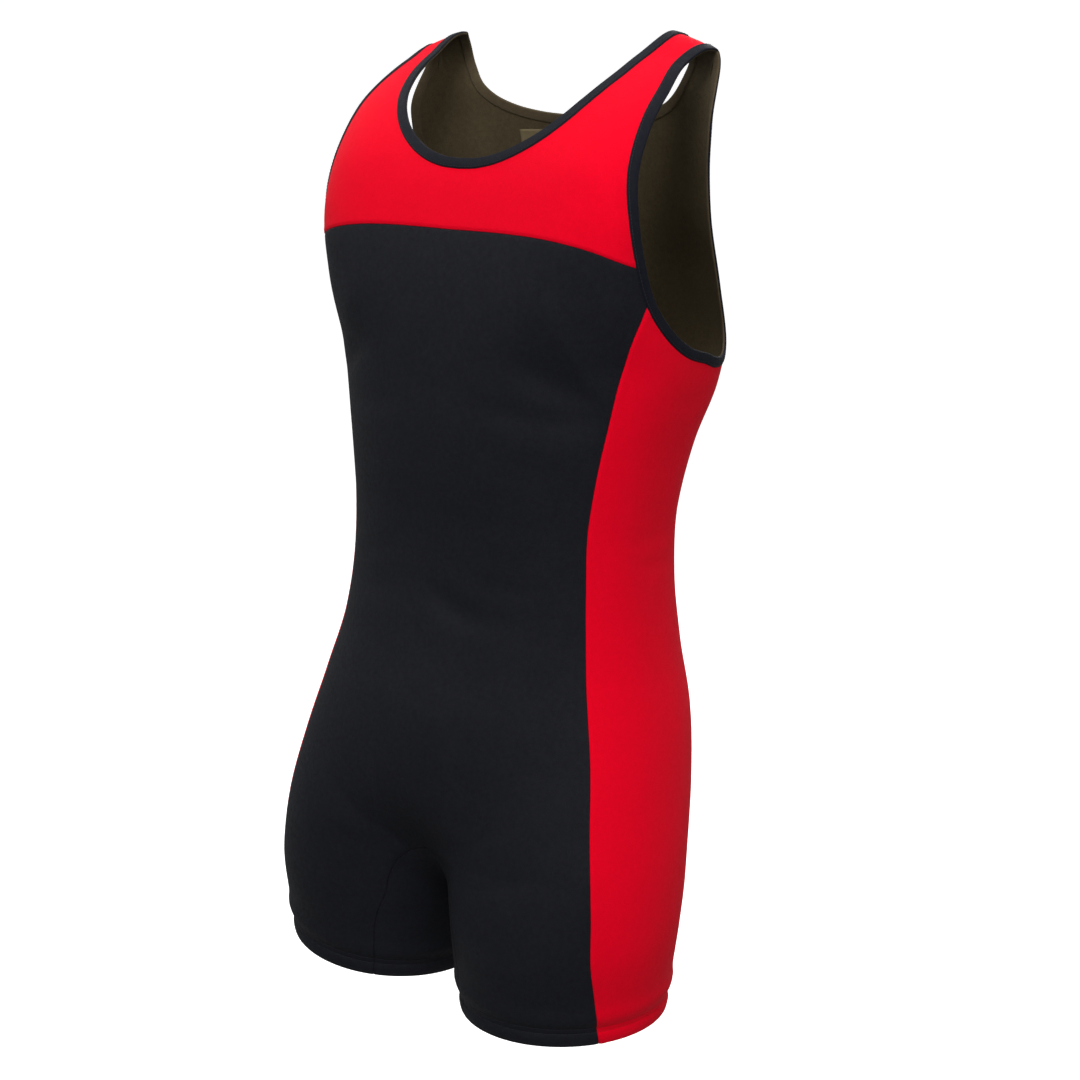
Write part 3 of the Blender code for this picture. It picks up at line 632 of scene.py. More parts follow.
def panel_sheet(left, right, top, bottom, steps):
    """Places, points and normals of a panel's half, and the distance of each from the four edges.

    The edge lines span a coarse grid, and its measured widths and heights say where the fine rows run.
    """
    even = np.linspace(0, 1, COARSE_GRID)
    coarse = spanned(left, right, top, bottom, even[:, None] + 0 * even, even + 0 * even[:, None])
    rough = skin(coarse[..., 0], coarse[..., 1])
    widths = np.linalg.norm(np.diff(rough, axis=1), axis=-1).sum(1)
    heights = np.linalg.norm(np.diff(rough, axis=0), axis=-1).sum(0)
    rows = spread(steps["top"], steps["bottom"], heights)
    columns = spread(steps["left"], steps["right"], widths)
    share_r = np.linspace(0, 1, rows.shape[1])
    share_c = np.linspace(0, 1, columns.shape[1])
    c = np.stack([np.interp(rows.mean(0), even, columns[:, j]) for j in range(len(share_c))], 1)
    r = np.stack([np.interp(c[i], even, rows[:, i]) for i in range(len(share_r))], 0)
    place = spanned(left, right, top, bottom, r, c)
    points = skin(place[..., 0], place[..., 1])
    normals = outward(place[..., 0], place[..., 1])
    across = np.cumsum(np.linalg.norm(np.diff(points, axis=1, prepend=points[:, :1]), axis=-1), 1)
    along = np.cumsum(np.linalg.norm(np.diff(points, axis=0, prepend=points[:1]), axis=-1), 0)
    return {
        "place": place,
        "points": points,
        "normals": normals,
        "left": across,
        "right": across[:, -1:] - across,
        "top": along,
        "bottom": along[-1:] - along,
    }


# A sewn edge rolls in, with a dip and puckers beside it. The allowance lies pressed under one side of the
# seam as a ridge.
ROLL_DEPTH = 0.0007
ROLL_WIDTH = 0.0011
DIP_DEPTH = 0.00022
DIP_WIDTH = 0.0030
PUCKER = 0.00016
PUCKER_PACE, PUCKER_DRIFT, PUCKER_SWELL = 720, 91, 53
RIDGE_HEIGHT = 0.00035
RIDGE_FROM = 0.0012
RIDGE_TO = 0.0066
RIDGE_RISE = 0.0008
RIDGE_FALL = 0.0011
CLOTH_THICKNESS = 0.0010
SHARP_FROM = math.radians(60)


def bell(distance, centre, width):
    """A hump of height one: e to the power of minus the square of the distance over the width."""
    return np.exp(-(((distance - centre) / width) ** 2))


def turned_in(distance, radius):
    """A quarter circle turned in at an edge: one at the edge itself, nought from the radius on."""
    near = np.clip(1 - distance / radius, 0, 1)
    return 1 - np.sqrt(1 - near * near)


def seam_relief(distance, along):
    """A sewn edge: a quarter circle turned in, on a soft dip, with small uneven puckers along it."""
    waves = np.sin(along * PUCKER_PACE + 2 * np.sin(along * PUCKER_DRIFT))
    waves *= 0.6 + 0.4 * np.sin(along * PUCKER_SWELL + 1)
    dip = (DIP_DEPTH + PUCKER * waves) * bell(distance, 0, DIP_WIDTH)
    return -ROLL_DEPTH * turned_in(distance, ROLL_WIDTH) - dip


def ridge_relief(distance):
    """The allowance pressed to this side shows as a low flat ridge beside the seam."""
    rise = eased((distance - RIDGE_FROM) / RIDGE_RISE)
    return RIDGE_HEIGHT * rise * eased((RIDGE_TO - distance) / RIDGE_FALL)


# The hem is turned up as far as HEM_TURNED and sewn in two rows. Its lower edge is round, and the cloth
# is thicker up to where it is turned.
HEM_ROWS = (0.0128, 0.0176)
HEM_TURNED = 0.0192
HEM_TURNED_EDGE = 0.0006
HEM_EXTRA_CLOTH = 0.0011
HEM_ROUND = 0.0016
HEM_ROUND_DEPTH = 0.0011
HEM_EDGE_THINNED = 0.0003
# Distance above the hem's edge, half width and height; a groove or a hollow is negative.
HEM_GROOVES = [(row, 0.0009, -0.00040) for row in HEM_ROWS]
HEM_PULL = (0.0155, 0.0055, -0.0015)
HEM_FULLNESS = (0.0060, 0.0040, 0.0005)
HEM_BULGE = (0.0290, 0.0075, 0.0013)
# The bulge is uneven along the hem: size, pace and start of each wave.
HEM_WAVES = ((0.25, 19, 0), (0.2, 47, 2))


def hem_relief(distance, around):
    """Outside of a turned-up hem: a round lower edge, two fine stitch grooves and a soft roll above them."""
    relief = -HEM_ROUND_DEPTH * turned_in(distance, HEM_ROUND)
    for place, width, height in (*HEM_GROOVES, HEM_PULL, HEM_FULLNESS):
        relief = relief + height * bell(distance, place, width)
    uneven = 1
    for size, pace, start in HEM_WAVES:
        uneven = uneven + size * np.sin(around * pace + start)
    place, width, height = HEM_BULGE
    return relief + height * uneven * bell(distance, place, width)


# Past FOLD_REACH of its half widths a fold is nothing. FOLD_SOFTNESS, also in half widths, blends the
# places along its line that are about as near, and a lower FOLD_FADE keeps it high nearer to its ends.
MM = 0.001
FOLD_STEPS = 25
FOLD_REACH = 3.5
FOLD_SOFTNESS = 0.5
FOLD_FADE = 0.7
# Each fold: the place where it starts, bends and ends, as station and turn in degrees on one half, then
# its half width and its height in millimetres (a trough is negative), and which half it lies on.
FOLDS = (
    # chest and ribs, front
    ((0.212, 29.0), (0.232, 35.0), (0.250, 40.0), 17.0, 2.4, 1),
    ((0.236, 36.5), (0.257, 42.7), (0.287, 52.5), 7.0, 1.3, 1),
    ((0.254, 22.0), (0.271, 34.0), (0.284, 48.0), 13.0, -2.4, 1),
    ((0.292, 12.0), (0.306, 34.0), (0.297, 54.0), 9.0, -1.3, 1),
    ((0.312, 20.0), (0.330, 36.0), (0.322, 50.0), 12.0, 0.8, 1),
    ((0.212, 28.0), (0.236, 36.0), (0.258, 43.0), 18.0, 1.4, -1),
    ((0.256, 30.0), (0.276, 40.0), (0.286, 50.0), 10.0, -1.8, -1),
    ((0.300, 16.0), (0.312, 32.0), (0.304, 48.0), 10.0, -1.0, -1),
    # waist and belly, front
    ((0.452, -8.0), (0.466, 2.5), (0.482, 12.0), 11.0, -1.7, 1),
    ((0.440, 10.0), (0.449, 24.0), (0.444, 38.0), 9.0, -0.9, 1),
    ((0.428, 14.0), (0.436, 26.0), (0.447, 40.0), 8.0, -0.9, -1),
    ((0.492, 18.0), (0.500, 32.0), (0.494, 46.0), 12.0, 0.9, -1),
    ((0.462, -6.0), (0.478, 12.0), (0.474, 34.0), 14.0, -1.6, 1),
    ((0.458, 6.0), (0.470, 20.0), (0.462, 40.0), 14.0, -1.2, -1),
    # front of the crotch and the tops of the thighs
    ((0.612, -11.0), (0.643, -19.0), (0.674, -28.0), 5.0, 1.3, -1),
    ((0.676, -29.0), (0.690, -38.0), (0.704, -47.0), 4.0, -1.5, -1),
    ((0.700, -48.0), (0.716, -46.0), (0.736, -42.0), 6.0, -1.3, -1),
    ((0.690, -40.0), (0.672, -14.0), (0.640, 12.0), 6.5, -1.0, -1),
    ((0.708, -34.0), (0.694, -8.0), (0.668, 22.0), 6.0, -0.7, -1),
    ((0.688, -38.0), (0.668, -10.0), (0.634, 18.0), 7.0, -1.0, 1),
    ((0.712, -36.0), (0.700, -6.0), (0.676, 26.0), 6.0, -0.7, 1),
    ((0.702, -46.0), (0.718, -44.0), (0.740, -40.0), 5.0, -1.1, 1),
    # sides
    ((0.284, 74.0), (0.296, 92.0), (0.288, 112.0), 9.0, -0.9, 1),
    ((0.402, 62.0), (0.412, 84.0), (0.405, 108.0), 10.0, -0.9, 1),
    ((0.424, 70.0), (0.434, 92.0), (0.430, 116.0), 9.0, -0.8, 1),
    ((0.290, 70.0), (0.300, 90.0), (0.296, 114.0), 10.0, -0.9, -1),
    ((0.408, 66.0), (0.418, 86.0), (0.414, 110.0), 10.0, -1.0, -1),
    ((0.700, 60.0), (0.712, 86.0), (0.704, 112.0), 12.0, 0.8, -1),
    # between the shoulder blades and under the arms, back
    ((0.150, 166.0), (0.205, 172.0), (0.262, 178.0), 13.0, -1.1, 1),
    ((0.160, 164.0), (0.215, 170.0), (0.270, 176.0), 13.0, -1.0, -1),
    ((0.272, 128.0), (0.298, 140.0), (0.318, 156.0), 9.0, -1.2, 1),
    ((0.296, 126.0), (0.318, 138.0), (0.334, 152.0), 8.0, -0.8, 1),
    ((0.268, 126.0), (0.292, 140.0), (0.308, 158.0), 9.0, -1.1, -1),
    # small of the back
    ((0.404, 146.0), (0.414, 164.0), (0.410, 184.0), 8.0, -1.4, 1),
    ((0.432, 140.0), (0.440, 160.0), (0.434, 178.0), 7.5, -1.2, 1),
    ((0.456, 150.0), (0.462, 166.0), (0.458, 182.0), 8.5, -0.9, 1),
    ((0.398, 150.0), (0.404, 166.0), (0.412, 180.0), 8.0, -1.1, -1),
    ((0.424, 144.0), (0.430, 162.0), (0.426, 182.0), 8.0, -1.4, -1),
    ((0.450, 146.0), (0.452, 164.0), (0.460, 180.0), 7.0, -0.8, -1),
    # under the seat and the backs of the thighs
    ((0.735, 232.0), (0.742, 206.0), (0.724, 174.0), 7.0, -1.6, 1),
    ((0.756, 226.0), (0.764, 202.0), (0.752, 176.0), 6.5, -1.0, 1),
    ((0.738, 230.0), (0.746, 204.0), (0.730, 170.0), 7.0, -1.5, -1),
    ((0.760, 224.0), (0.770, 204.0), (0.760, 182.0), 6.0, -0.9, -1),
    ((0.690, 214.0), (0.708, 206.0), (0.728, 208.0), 6.0, -1.0, -1),
)


def on_side(sign):
    """Factors that keep a point on the wearer's left, or with a minus sign put it on the right."""
    return np.array([sign, 1.0, 1.0])


MIRROR = on_side(-1)


def fold_relief(points):
    """Sum of soft folds: each is a bell across a bent line, fading out along it at both ends."""
    relief = np.zeros(points.shape[:-1])
    for start, bend, end, width, height, side in FOLDS:
        corners = np.array([start, bend, end], float)
        share = np.linspace(0, 1, FOLD_STEPS)[:, None]
        line = (1 - share) ** 2 * corners[0] + 2 * share * (1 - share) * corners[1] + share**2 * corners[2]
        path = skin(line[:, 0], np.radians(line[:, 1])) * on_side(side)
        reach = np.ptp(path, axis=0) / 2 + FOLD_REACH * MM * width
        near = np.all(np.abs(points - path.mean(0)) < reach, axis=-1)
        close = points[near]
        if not len(close):
            continue
        gap = np.linalg.norm(close[:, None] - path[None], axis=-1)
        least = gap.min(1)
        soft = np.exp(-((gap**2 - least[:, None] ** 2) / (2 * (FOLD_SOFTNESS * MM * width) ** 2)))
        run = (soft * share[:, 0]).sum(1) / soft.sum(1)
        fade = np.sin(np.pi * np.clip(run, 0, 1)) ** FOLD_FADE
        relief[near] += MM * height * fade * bell(least, 0, MM * width)
    return relief


def joined_halves(sheet):
    """The half sheet and its mirror image, with the points on the middle plane shared."""
    points, normals, faces = sheet["points"], sheet["normals"], sheet["faces"]
    on_plane = np.abs(points[:, 0]) < 1e-5
    points = np.where(on_plane[:, None], points * [0, 1, 1], points)
    normals = np.where(on_plane[:, None], normals * [0, 1, 1], normals)
    normals = unit(normals)
    keep = np.nonzero(~on_plane)[0]
    renamed = np.arange(len(points))
    renamed[keep] = len(points) + np.arange(len(keep))
    return {
        "points": np.concatenate([points, points[keep] * MIRROR]),
        "normals": np.concatenate([normals, normals[keep] * MIRROR]),
        "faces": np.concatenate([faces, renamed[faces[:, ::-1]]]),
        "relief": np.concatenate([sheet["relief"], sheet["relief"][keep]]),
        "thick": np.concatenate([sheet["thick"], sheet["thick"][keep]]),
        "cloth": np.concatenate([sheet["cloth"], sheet["cloth"][keep] * [-1, 1]]),
    }


def rim_of(faces):
    """Edges that only one face has, each in that face's direction."""
    edges = np.stack([faces, np.roll(faces, -1, 1)], -1).reshape(-1, 2)
    key = np.sort(edges, 1) @ np.array([edges.max() + 1, 1])
    index, times = np.unique(key, return_index=True, return_counts=True)[1:]
    return edges[index[times == 1]]


def closed_sheet(faces, count):
    """A sheet's faces, the same turned over and count points on, and its rim between them."""
    rim = rim_of(faces)
    rim_faces = np.stack([rim[:, 1], rim[:, 0], rim[:, 0] + count, rim[:, 1] + count], -1)
    return np.concatenate([faces, faces[:, ::-1] + count, rim_faces])


def half_panel(left, right, top, bottom, seams, hem=True, ridges=(), grain="left"):
    """One half of a panel with its seam and hem relief. seams maps an edge to a weight along it."""
    edges = ("left", "right", "top", "bottom")
    steps = {edge: SEAM_STEPS if edge in seams else PLAIN_STEPS for edge in edges}
    if hem:
        steps["bottom"] = HEM_STEPS
    sheet = panel_sheet(left, right, top, bottom, steps)
    rows, columns = sheet["left"].shape
    relief = np.zeros((rows, columns))
    for edge, weight in seams.items():
        along = sheet["top"] if edge in ("left", "right") else sheet["left"]
        shown = weight(sheet) if callable(weight) else weight
        relief += shown * seam_relief(sheet[edge], along)
        if edge in ridges:
            relief += shown * ridge_relief(sheet[edge])
    thick = np.full((rows, columns), CLOTH_THICKNESS)
    if hem:
        relief += hem_relief(sheet["bottom"], sheet["left"])
        turned = np.clip((HEM_TURNED - sheet["bottom"]) / HEM_TURNED_EDGE, 0, 1)
        edge = turned_in(sheet["bottom"], HEM_ROUND)
        thick = thick + HEM_EXTRA_CLOTH * turned * (1 - edge) - HEM_EDGE_THINNED * edge
    across = sheet["right"] if grain == "right" else sheet["left"]
    sheet["faces"] = grid_faces(rows, columns)
    sheet["relief"] = relief.ravel()
    sheet["thick"] = thick.ravel()
    sheet["cloth"] = np.stack([across, -sheet["top"]], -1).reshape(-1, 2)
    sheet["points"] = sheet["points"].reshape(-1, 3)
    sheet["normals"] = sheet["normals"].reshape(-1, 3)
    return sheet


def lay_cloth(piece, corners):
    """Keeps the cloth coordinates of each face's corners, for the knit to follow."""
    layer = piece.data.uv_layers.new(name="cloth")
    layer.data.foreach_set("uv", corners.astype(np.float32).ravel())


def cloth_piece(name, sheet, material):
    """A closed thin shell: the outer face at the relief, the inner one a cloth's thickness below it."""
    relief = sheet["relief"] + fold_relief(sheet["points"])
    outer = sheet["points"] + relief[:, None] * sheet["normals"]
    inner = sheet["points"] + (relief - sheet["thick"])[:, None] * sheet["normals"]
    faces = sheet["faces"]
    every = closed_sheet(faces, len(outer))
    piece = new_piece(name, np.concatenate([outer, inner]), every, material)
    piece.data.materials.append(INSIDE_CLOTH)
    slots = np.zeros(len(every), np.int32)
    slots[len(faces) : 2 * len(faces)] = 1
    piece.data.polygons.foreach_set("material_index", slots)
    lay_cloth(piece, np.concatenate([sheet["cloth"], sheet["cloth"]])[every.ravel()])
    piece.data.set_sharp_from_angle(angle=SHARP_FROM)
    return piece


def group_of(name, inputs, outputs):
    """An empty shader node group with these number or colour inputs and outputs."""
    group = bpy.data.node_groups.new(name, "ShaderNodeTree")
    for label, kind, value in inputs:
        socket = group.interface.new_socket(name=label, in_out="INPUT", socket_type=kind)
        socket.default_value = value
    for label, kind in outputs:
        group.interface.new_socket(name=label, in_out="OUTPUT", socket_type=kind)
    return group, group.nodes.new("NodeGroupInput"), group.nodes.new("NodeGroupOutput")


def maths(tree, operation, *values):
    """A Math node whose inputs are numbers or other nodes' outputs; gives its own output."""
    node = tree.nodes.new("ShaderNodeMath")
    node.operation = operation
    for socket, value in zip(node.inputs, values):
        if isinstance(value, (int, float)):
            socket.default_value = value
        else:
            tree.links.new(value, socket)
    return node.outputs[0]


WALE = 0.00075
COURSE = 0.00060
LOOP_HEIGHT = 0.0003
SHEEN_ROUGHNESS = 0.45
LOOP_SLANT = 1.1
LOOP_HOLLOW = 0.3
FIBRE_HEIGHT = 0.6
YARN_ROUGHNESS = 0.25
# Noise in fibres, in yarns and in patches of the cloth: its scale, its detail and its share of the mottle.
KNIT_GRAINS = ((1150.0, 1.0, 1.5), (260.0, 2.0, 0.8), (38.0, 2.0, 0.5))


def knit_group():
    """Fine stretch knit: rows of small V loops in height, and a faint mottle of lighter and darker yarn."""
    group, given, result = group_of(
        "knit",
        [
            ("Yarn", "NodeSocketColor", (0.5, 0.5, 0.5, 1)),
            ("Shade", "NodeSocketColor", (0.2, 0.2, 0.2, 1)),
            ("Mottle", "NodeSocketFloat", 0.3),
            ("Roughness", "NodeSocketFloat", 0.6),
        ],
        [("Colour", "NodeSocketColor"), ("Rough", "NodeSocketFloat"), ("Height", "NodeSocketFloat")],
    )
    cloth = group.nodes.new("ShaderNodeUVMap")
    cloth.uv_map = "cloth"
    parts = group.nodes.new("ShaderNodeSeparateXYZ")
    group.links.new(cloth.outputs["UV"], parts.inputs[0])
    u, v = parts.outputs[0], parts.outputs[1]
    column = maths(group, "DIVIDE", u, WALE)
    lean = maths(group, "ABSOLUTE", maths(group, "SUBTRACT", maths(group, "FRACT", column), 0.5))
    row = maths(group, "MULTIPLY_ADD", lean, LOOP_SLANT, maths(group, "DIVIDE", v, COURSE))
    across = maths(group, "SINE", maths(group, "MULTIPLY", maths(group, "FRACT", column), math.pi))
    up = maths(group, "SINE", maths(group, "MULTIPLY", row, 2 * math.pi))
    loops = maths(group, "MULTIPLY", across, maths(group, "MULTIPLY_ADD", up, LOOP_HOLLOW, 1 - LOOP_HOLLOW))

    place = group.nodes.new("ShaderNodeTexCoord")
    grains = []
    speckle = 0.5
    for scale, detail, weight in KNIT_GRAINS:
        noise = group.nodes.new("ShaderNodeTexNoise")
        set_inputs(noise, {"Scale": scale, "Detail": detail})
        group.links.new(place.outputs["Object"], noise.inputs["Vector"])
        grains.append(maths(group, "SUBTRACT", noise.outputs[0], 0.5))
        speckle = maths(group, "MULTIPLY_ADD", grains[-1], weight, speckle)
    amount = maths(group, "MULTIPLY", speckle, given.outputs["Mottle"])
    mixed = group.nodes.new("ShaderNodeMix")
    mixed.data_type = "RGBA"
    mixed.clamp_factor = True
    group.links.new(amount, mixed.inputs[0])
    group.links.new(given.outputs["Yarn"], mixed.inputs[6])
    group.links.new(given.outputs["Shade"], mixed.inputs[7])
    group.links.new(mixed.outputs[2], result.inputs["Colour"])
    rough = maths(group, "MULTIPLY_ADD", grains[1], YARN_ROUGHNESS, given.outputs["Roughness"])
    group.links.new(rough, result.inputs["Rough"])
    height = maths(group, "MULTIPLY_ADD", grains[0], FIBRE_HEIGHT, loops)
    group.links.new(height, result.inputs["Height"])
    return group


KNIT = knit_group()


def knit_material(name, yarn, shade, mottle, roughness, bump, gloss, sheen, tint):
    """Cloth: the knit's colour and roughness, its loops as a bump, and a soft sheen from its fibres."""
    material, tree, shader = new_material(name)
    knit = tree.nodes.new("ShaderNodeGroup")
    knit.node_tree = KNIT
    set_inputs(knit, {"Yarn": (*yarn, 1), "Shade": (*shade, 1), "Mottle": mottle, "Roughness": roughness})
    relief = tree.nodes.new("ShaderNodeBump")
    set_inputs(relief, {"Strength": bump, "Distance": LOOP_HEIGHT})
    tree.links.new(knit.outputs["Height"], relief.inputs["Height"])
    tree.links.new(knit.outputs["Colour"], shader.inputs["Base Color"])
    tree.links.new(knit.outputs["Rough"], shader.inputs["Roughness"])
    tree.links.new(relief.outputs[0], shader.inputs["Normal"])
    set_inputs(shader, {"Sheen Weight": sheen, "Sheen Roughness": SHEEN_ROUGHNESS})
    set_inputs(shader, {"Sheen Tint": (*tint, 1), "Specular IOR Level": gloss})
    return material


BLACK_CLOTH = knit_material(
    "black_knit", yarn=(0.0112, 0.0120, 0.0170), shade=(0.0047, 0.0051, 0.0074), mottle=0.8,
    roughness=0.55, bump=0.60, gloss=0.12, sheen=0.010, tint=(0.8, 0.85, 1),
)
INSIDE_CLOTH = knit_material(
    "inside_knit", yarn=(0.098, 0.075, 0.042), shade=(0.052, 0.039, 0.021), mottle=0.8,
    roughness=0.80, bump=0.45, gloss=0.05, sheen=0.01, tint=(1, 0.9, 0.7),
)

LINES = bound_lines(TUCKED)
SIDE_LINE_FRONT = down(LINES["arm_front"][-1, 0], HEM_STATION, lambda h: seam_turn(SIDE_SEAM_FRONT, h))
SIDE_LINE_BACK = down(LINES["arm_back"][-1, 0], HEM_STATION, lambda h: seam_turn(SIDE_SEAM_BACK, h))
SIDE_LINE_FRONT[0] = LINES["arm_front"][-1]
SIDE_LINE_BACK[0] = LINES["arm_back"][-1]
INNER_LINE_FRONT = inner_line(INNER_FRONT_TOP, INNER_SEAM_FRONT, False)
INNER_LINE_BACK = inner_line(INNER_BACK_TOP, INNER_SEAM_BACK, True)
YOKE_TURN = np.linspace(0, LINES["arm_yoke"][-1, 1], DENSE)
YOKE_LINE = np.stack([yoke_station(YOKE_TURN), YOKE_TURN], -1)
YOKE_LINE[-1] = LINES["arm_yoke"][-1]
FRONT_CENTRE = middle_line(YOKE_LINE[0, 0], INNER_FRONT_TOP, False)


SPLIT_FADE = 0.006


def below_split(start):
    """Weight of a seam that starts on the middle plane at this station: a straight rise below it."""
    return lambda sheet: np.clip((sheet["place"][..., 0] - start) / SPLIT_FADE, 0, 1)


def declare(piece, node):
    """A panel rides on the one body and stands for its solid, which is hidden."""
    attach(piece, "root")
    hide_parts(node)


front_sheet = half_panel(
    chained(FRONT_CENTRE, INNER_LINE_FRONT),
    chained(LINES["arm_front"], SIDE_LINE_FRONT),
    YOKE_LINE,
    hem_line(INNER_LINE_FRONT[-1, 1], SIDE_LINE_FRONT[-1, 1]),
    seams={"left": below_split(INNER_FRONT_TOP), "right": 1.0, "top": 1.0},
)
front_body = cloth_piece("front_body_cloth", joined_halves(front_sheet), BLACK_CLOTH)
declare(front_body, "front_body")

# Front yoke: red stretch knit across the chest, running up into both shoulder straps. Its lower edge is
# sewn to the black front, and its tops to the back at the shoulders.
RED_CLOTH = knit_material(
    "red_knit", yarn=(0.86, 0.0010, 0.0185), shade=(0.70, 0.0005, 0.0120), mottle=0.6,
    roughness=0.62, bump=0.40, gloss=0.02, sheen=0.04, tint=(1, 0.75, 0.8),
)
shoulder_front = np.linspace(LINES["neck_front"][0], LINES["arm_yoke"][0], DENSE)
yoke_centre = middle_line(LINES["neck_front"][-1, 0], YOKE_LINE[0, 0], False)
yoke_sheet = half_panel(
    chained(LINES["neck_front"], yoke_centre),
    LINES["arm_yoke"],
    shoulder_front,
    YOKE_LINE,
    seams={"top": 1.0, "bottom": 1.0},
    hem=False,
    ridges=("bottom",),
)
front_yoke = cloth_piece("front_yoke_cloth", joined_halves(yoke_sheet), RED_CLOTH)
declare(front_yoke, "front_yoke")

# Side panels: a red stretch knit panel down each side, from a point under the armhole to the hem, wider
# over the hip and thigh. Each is sewn to the front and the back panels.
side_sheet = half_panel(
    SIDE_LINE_FRONT,
    SIDE_LINE_BACK,
    LINES["arm_side"],
    hem_line(SIDE_LINE_FRONT[-1, 1], SIDE_LINE_BACK[-1, 1]),
    seams={"left": 1.0, "right": 1.0},
    ridges=("left", "right"),
)
SIDES = (("left", 1), ("right", -1))
for side_name, side_sign in SIDES:
    sheet_here = dict(side_sheet)
    if side_sign < 0:
        sheet_here["points"] = side_sheet["points"] * MIRROR
        sheet_here["normals"] = side_sheet["normals"] * MIRROR
        sheet_here["faces"] = side_sheet["faces"][:, ::-1]
    side_piece = cloth_piece("side_" + side_name + "_cloth", sheet_here, RED_CLOTH)
    declare(side_piece, "side_" + side_name)

# Back panel: one piece of black stretch knit from the shoulder seams to both hems, with the backs of
# both legs, cut high between the shoulder blades.
shoulder_back = np.linspace(LINES["arm_back"][0], LINES["neck_back"][0], DENSE)
BACK_CENTRE = middle_line(LINES["neck_back"][-1, 0], INNER_BACK_TOP, True)
back_sheet = half_panel(
    chained(LINES["arm_back"], SIDE_LINE_BACK),
    chained(LINES["neck_back"], BACK_CENTRE, INNER_LINE_BACK),
    shoulder_back,
    hem_line(SIDE_LINE_BACK[-1, 1], INNER_LINE_BACK[-1, 1]),
    seams={"left": 1.0, "right": below_split(INNER_BACK_TOP), "top": 1.0},
    grain="right",
)
back = cloth_piece("back_cloth", joined_halves(back_sheet), BLACK_CLOTH)
declare(back, "back")

# Gusset: a black piece set in between the legs, from one hem up through the crotch and down to the
# other, sewn to the front and the back panels along the inner thighs.
turned = np.array([0.0, 2 * np.pi])
under = root_between(
    np.array([INNER_BACK_TOP]),
    np.array([HEM_STATION]),
    lambda h: middle_turns(h)[0] < -np.pi / 2 + 1e-9,
)[0]
fore = middle_line(INNER_FRONT_TOP, under, False)
rear = middle_line(INNER_BACK_TOP, under, True)[::-1]
gusset_sheet = half_panel(
    INNER_LINE_BACK - turned,
    INNER_LINE_FRONT,
    np.concatenate([fore, rear[1:] - turned])[::-1],
    hem_line(INNER_LINE_BACK[-1, 1] - 2 * np.pi, INNER_LINE_FRONT[-1, 1]),
    seams={"left": 1.0, "right": 1.0},
)
gusset = cloth_piece("gusset_cloth", joined_halves(gusset_sheet), BLACK_CLOTH)
declare(gusset, "gusset")

# Hem stitching: both hems are turned up inside and held by a twin row of small even stitches, in thread of
# each panel's own colour.
STITCH_LENGTH = 0.0023
STITCH_STEP = 0.0029
STITCH_WIDTH = 0.00055
STITCH_HEIGHT = 0.00040
HEM_STITCH_LIFT = 0.00012
# Four places along a stitch: share of its length, fullness, and share of its height above the cloth.
STITCH_PROFILE = np.array([(-0.5, 0.45, -0.35), (-0.34, 1.0, 0.0), (0.34, 1.0, 0.0), (0.5, 0.45, -0.35)])


def stitch_shapes(points, normals):
    """Flat six-sided threads along a line, one at each point: full in the middle, drawn in at both ends."""
    along = unit(np.gradient(points, axis=0))
    across = unit(np.cross(normals, along))
    turn = np.arange(6) * np.pi / 3
    run, size, lift = STITCH_PROFILE.T[..., None]
    x = (size * np.cos(turn) * STITCH_WIDTH / 2).ravel()
    z = (size * np.sin(turn) * STITCH_HEIGHT / 2 + lift * STITCH_HEIGHT).ravel()
    y = (run * STITCH_LENGTH + 0 * turn).ravel()
    shape = across[:, None] * x[:, None] + along[:, None] * y[:, None] + normals[:, None] * z[:, None]
    index = np.arange(24).reshape(4, 6)
    beside = np.roll(index, -1, 1)
    walls = np.stack([index[:-1], beside[:-1], beside[1:], index[1:]], -1).reshape(-1, 4)
    caps = np.array([[3, 2, 1, 0], [5, 4, 3, 0], [18, 19, 20, 21], [18, 21, 22, 23]])
    faces = np.concatenate([walls, caps])
    every = (faces[None] + 24 * np.arange(len(points))[:, None, None]).reshape(-1, 4)
    return (points[:, None] + shape).reshape(-1, 3), every


def stitched(points, normals):
    """Points and normals at even steps along a line."""
    run = run_along(points)
    at = np.arange(STITCH_STEP / 2, run[-1], STITCH_STEP)
    return read_at(at, run, points), unit(read_at(at, run, normals))


def row_above_hem(sheet, distance):
    """The line at a distance above the hem on a half panel, with its normals and its relief."""
    shape = sheet["bottom"].shape
    below = (sheet["bottom"] > distance).sum(0)[None, :]
    upper = np.take_along_axis(sheet["bottom"], below - 1, 0)
    lower = np.take_along_axis(sheet["bottom"], below, 0)
    share = ((upper - distance) / (upper - lower))[0][:, None]
    found = []
    for values in (sheet["points"], sheet["normals"], sheet["relief"][:, None]):
        grid = values.reshape(*shape, -1)
        high = np.take_along_axis(grid, (below - 1)[..., None], 0)[0]
        deep = np.take_along_axis(grid, below[..., None], 0)[0]
        found.append((1 - share) * high + share * deep)
    return found


TWIST_SCALE = 2400.0
TWIST_COLOURS = (0.55, 1.35)


def thread_material(name, colour):
    """Spun thread: a fine twist across the stitch in colour, and a low sheen."""
    material, tree, shader = new_material(name)
    place = tree.nodes.new("ShaderNodeTexCoord")
    twist = tree.nodes.new("ShaderNodeTexNoise")
    set_inputs(twist, {"Scale": TWIST_SCALE})
    tree.links.new(place.outputs["Object"], twist.inputs["Vector"])
    ramp = tree.nodes.new("ShaderNodeValToRGB")
    for stop, strength in zip(ramp.color_ramp.elements, TWIST_COLOURS):
        stop.color = (*(strength * np.array(colour)), 1)
    tree.links.new(twist.outputs[0], ramp.inputs[0])
    tree.links.new(ramp.outputs[0], shader.inputs["Base Color"])
    set_inputs(shader, {"Roughness": 0.5, "Specular IOR Level": 0.15})
    return material


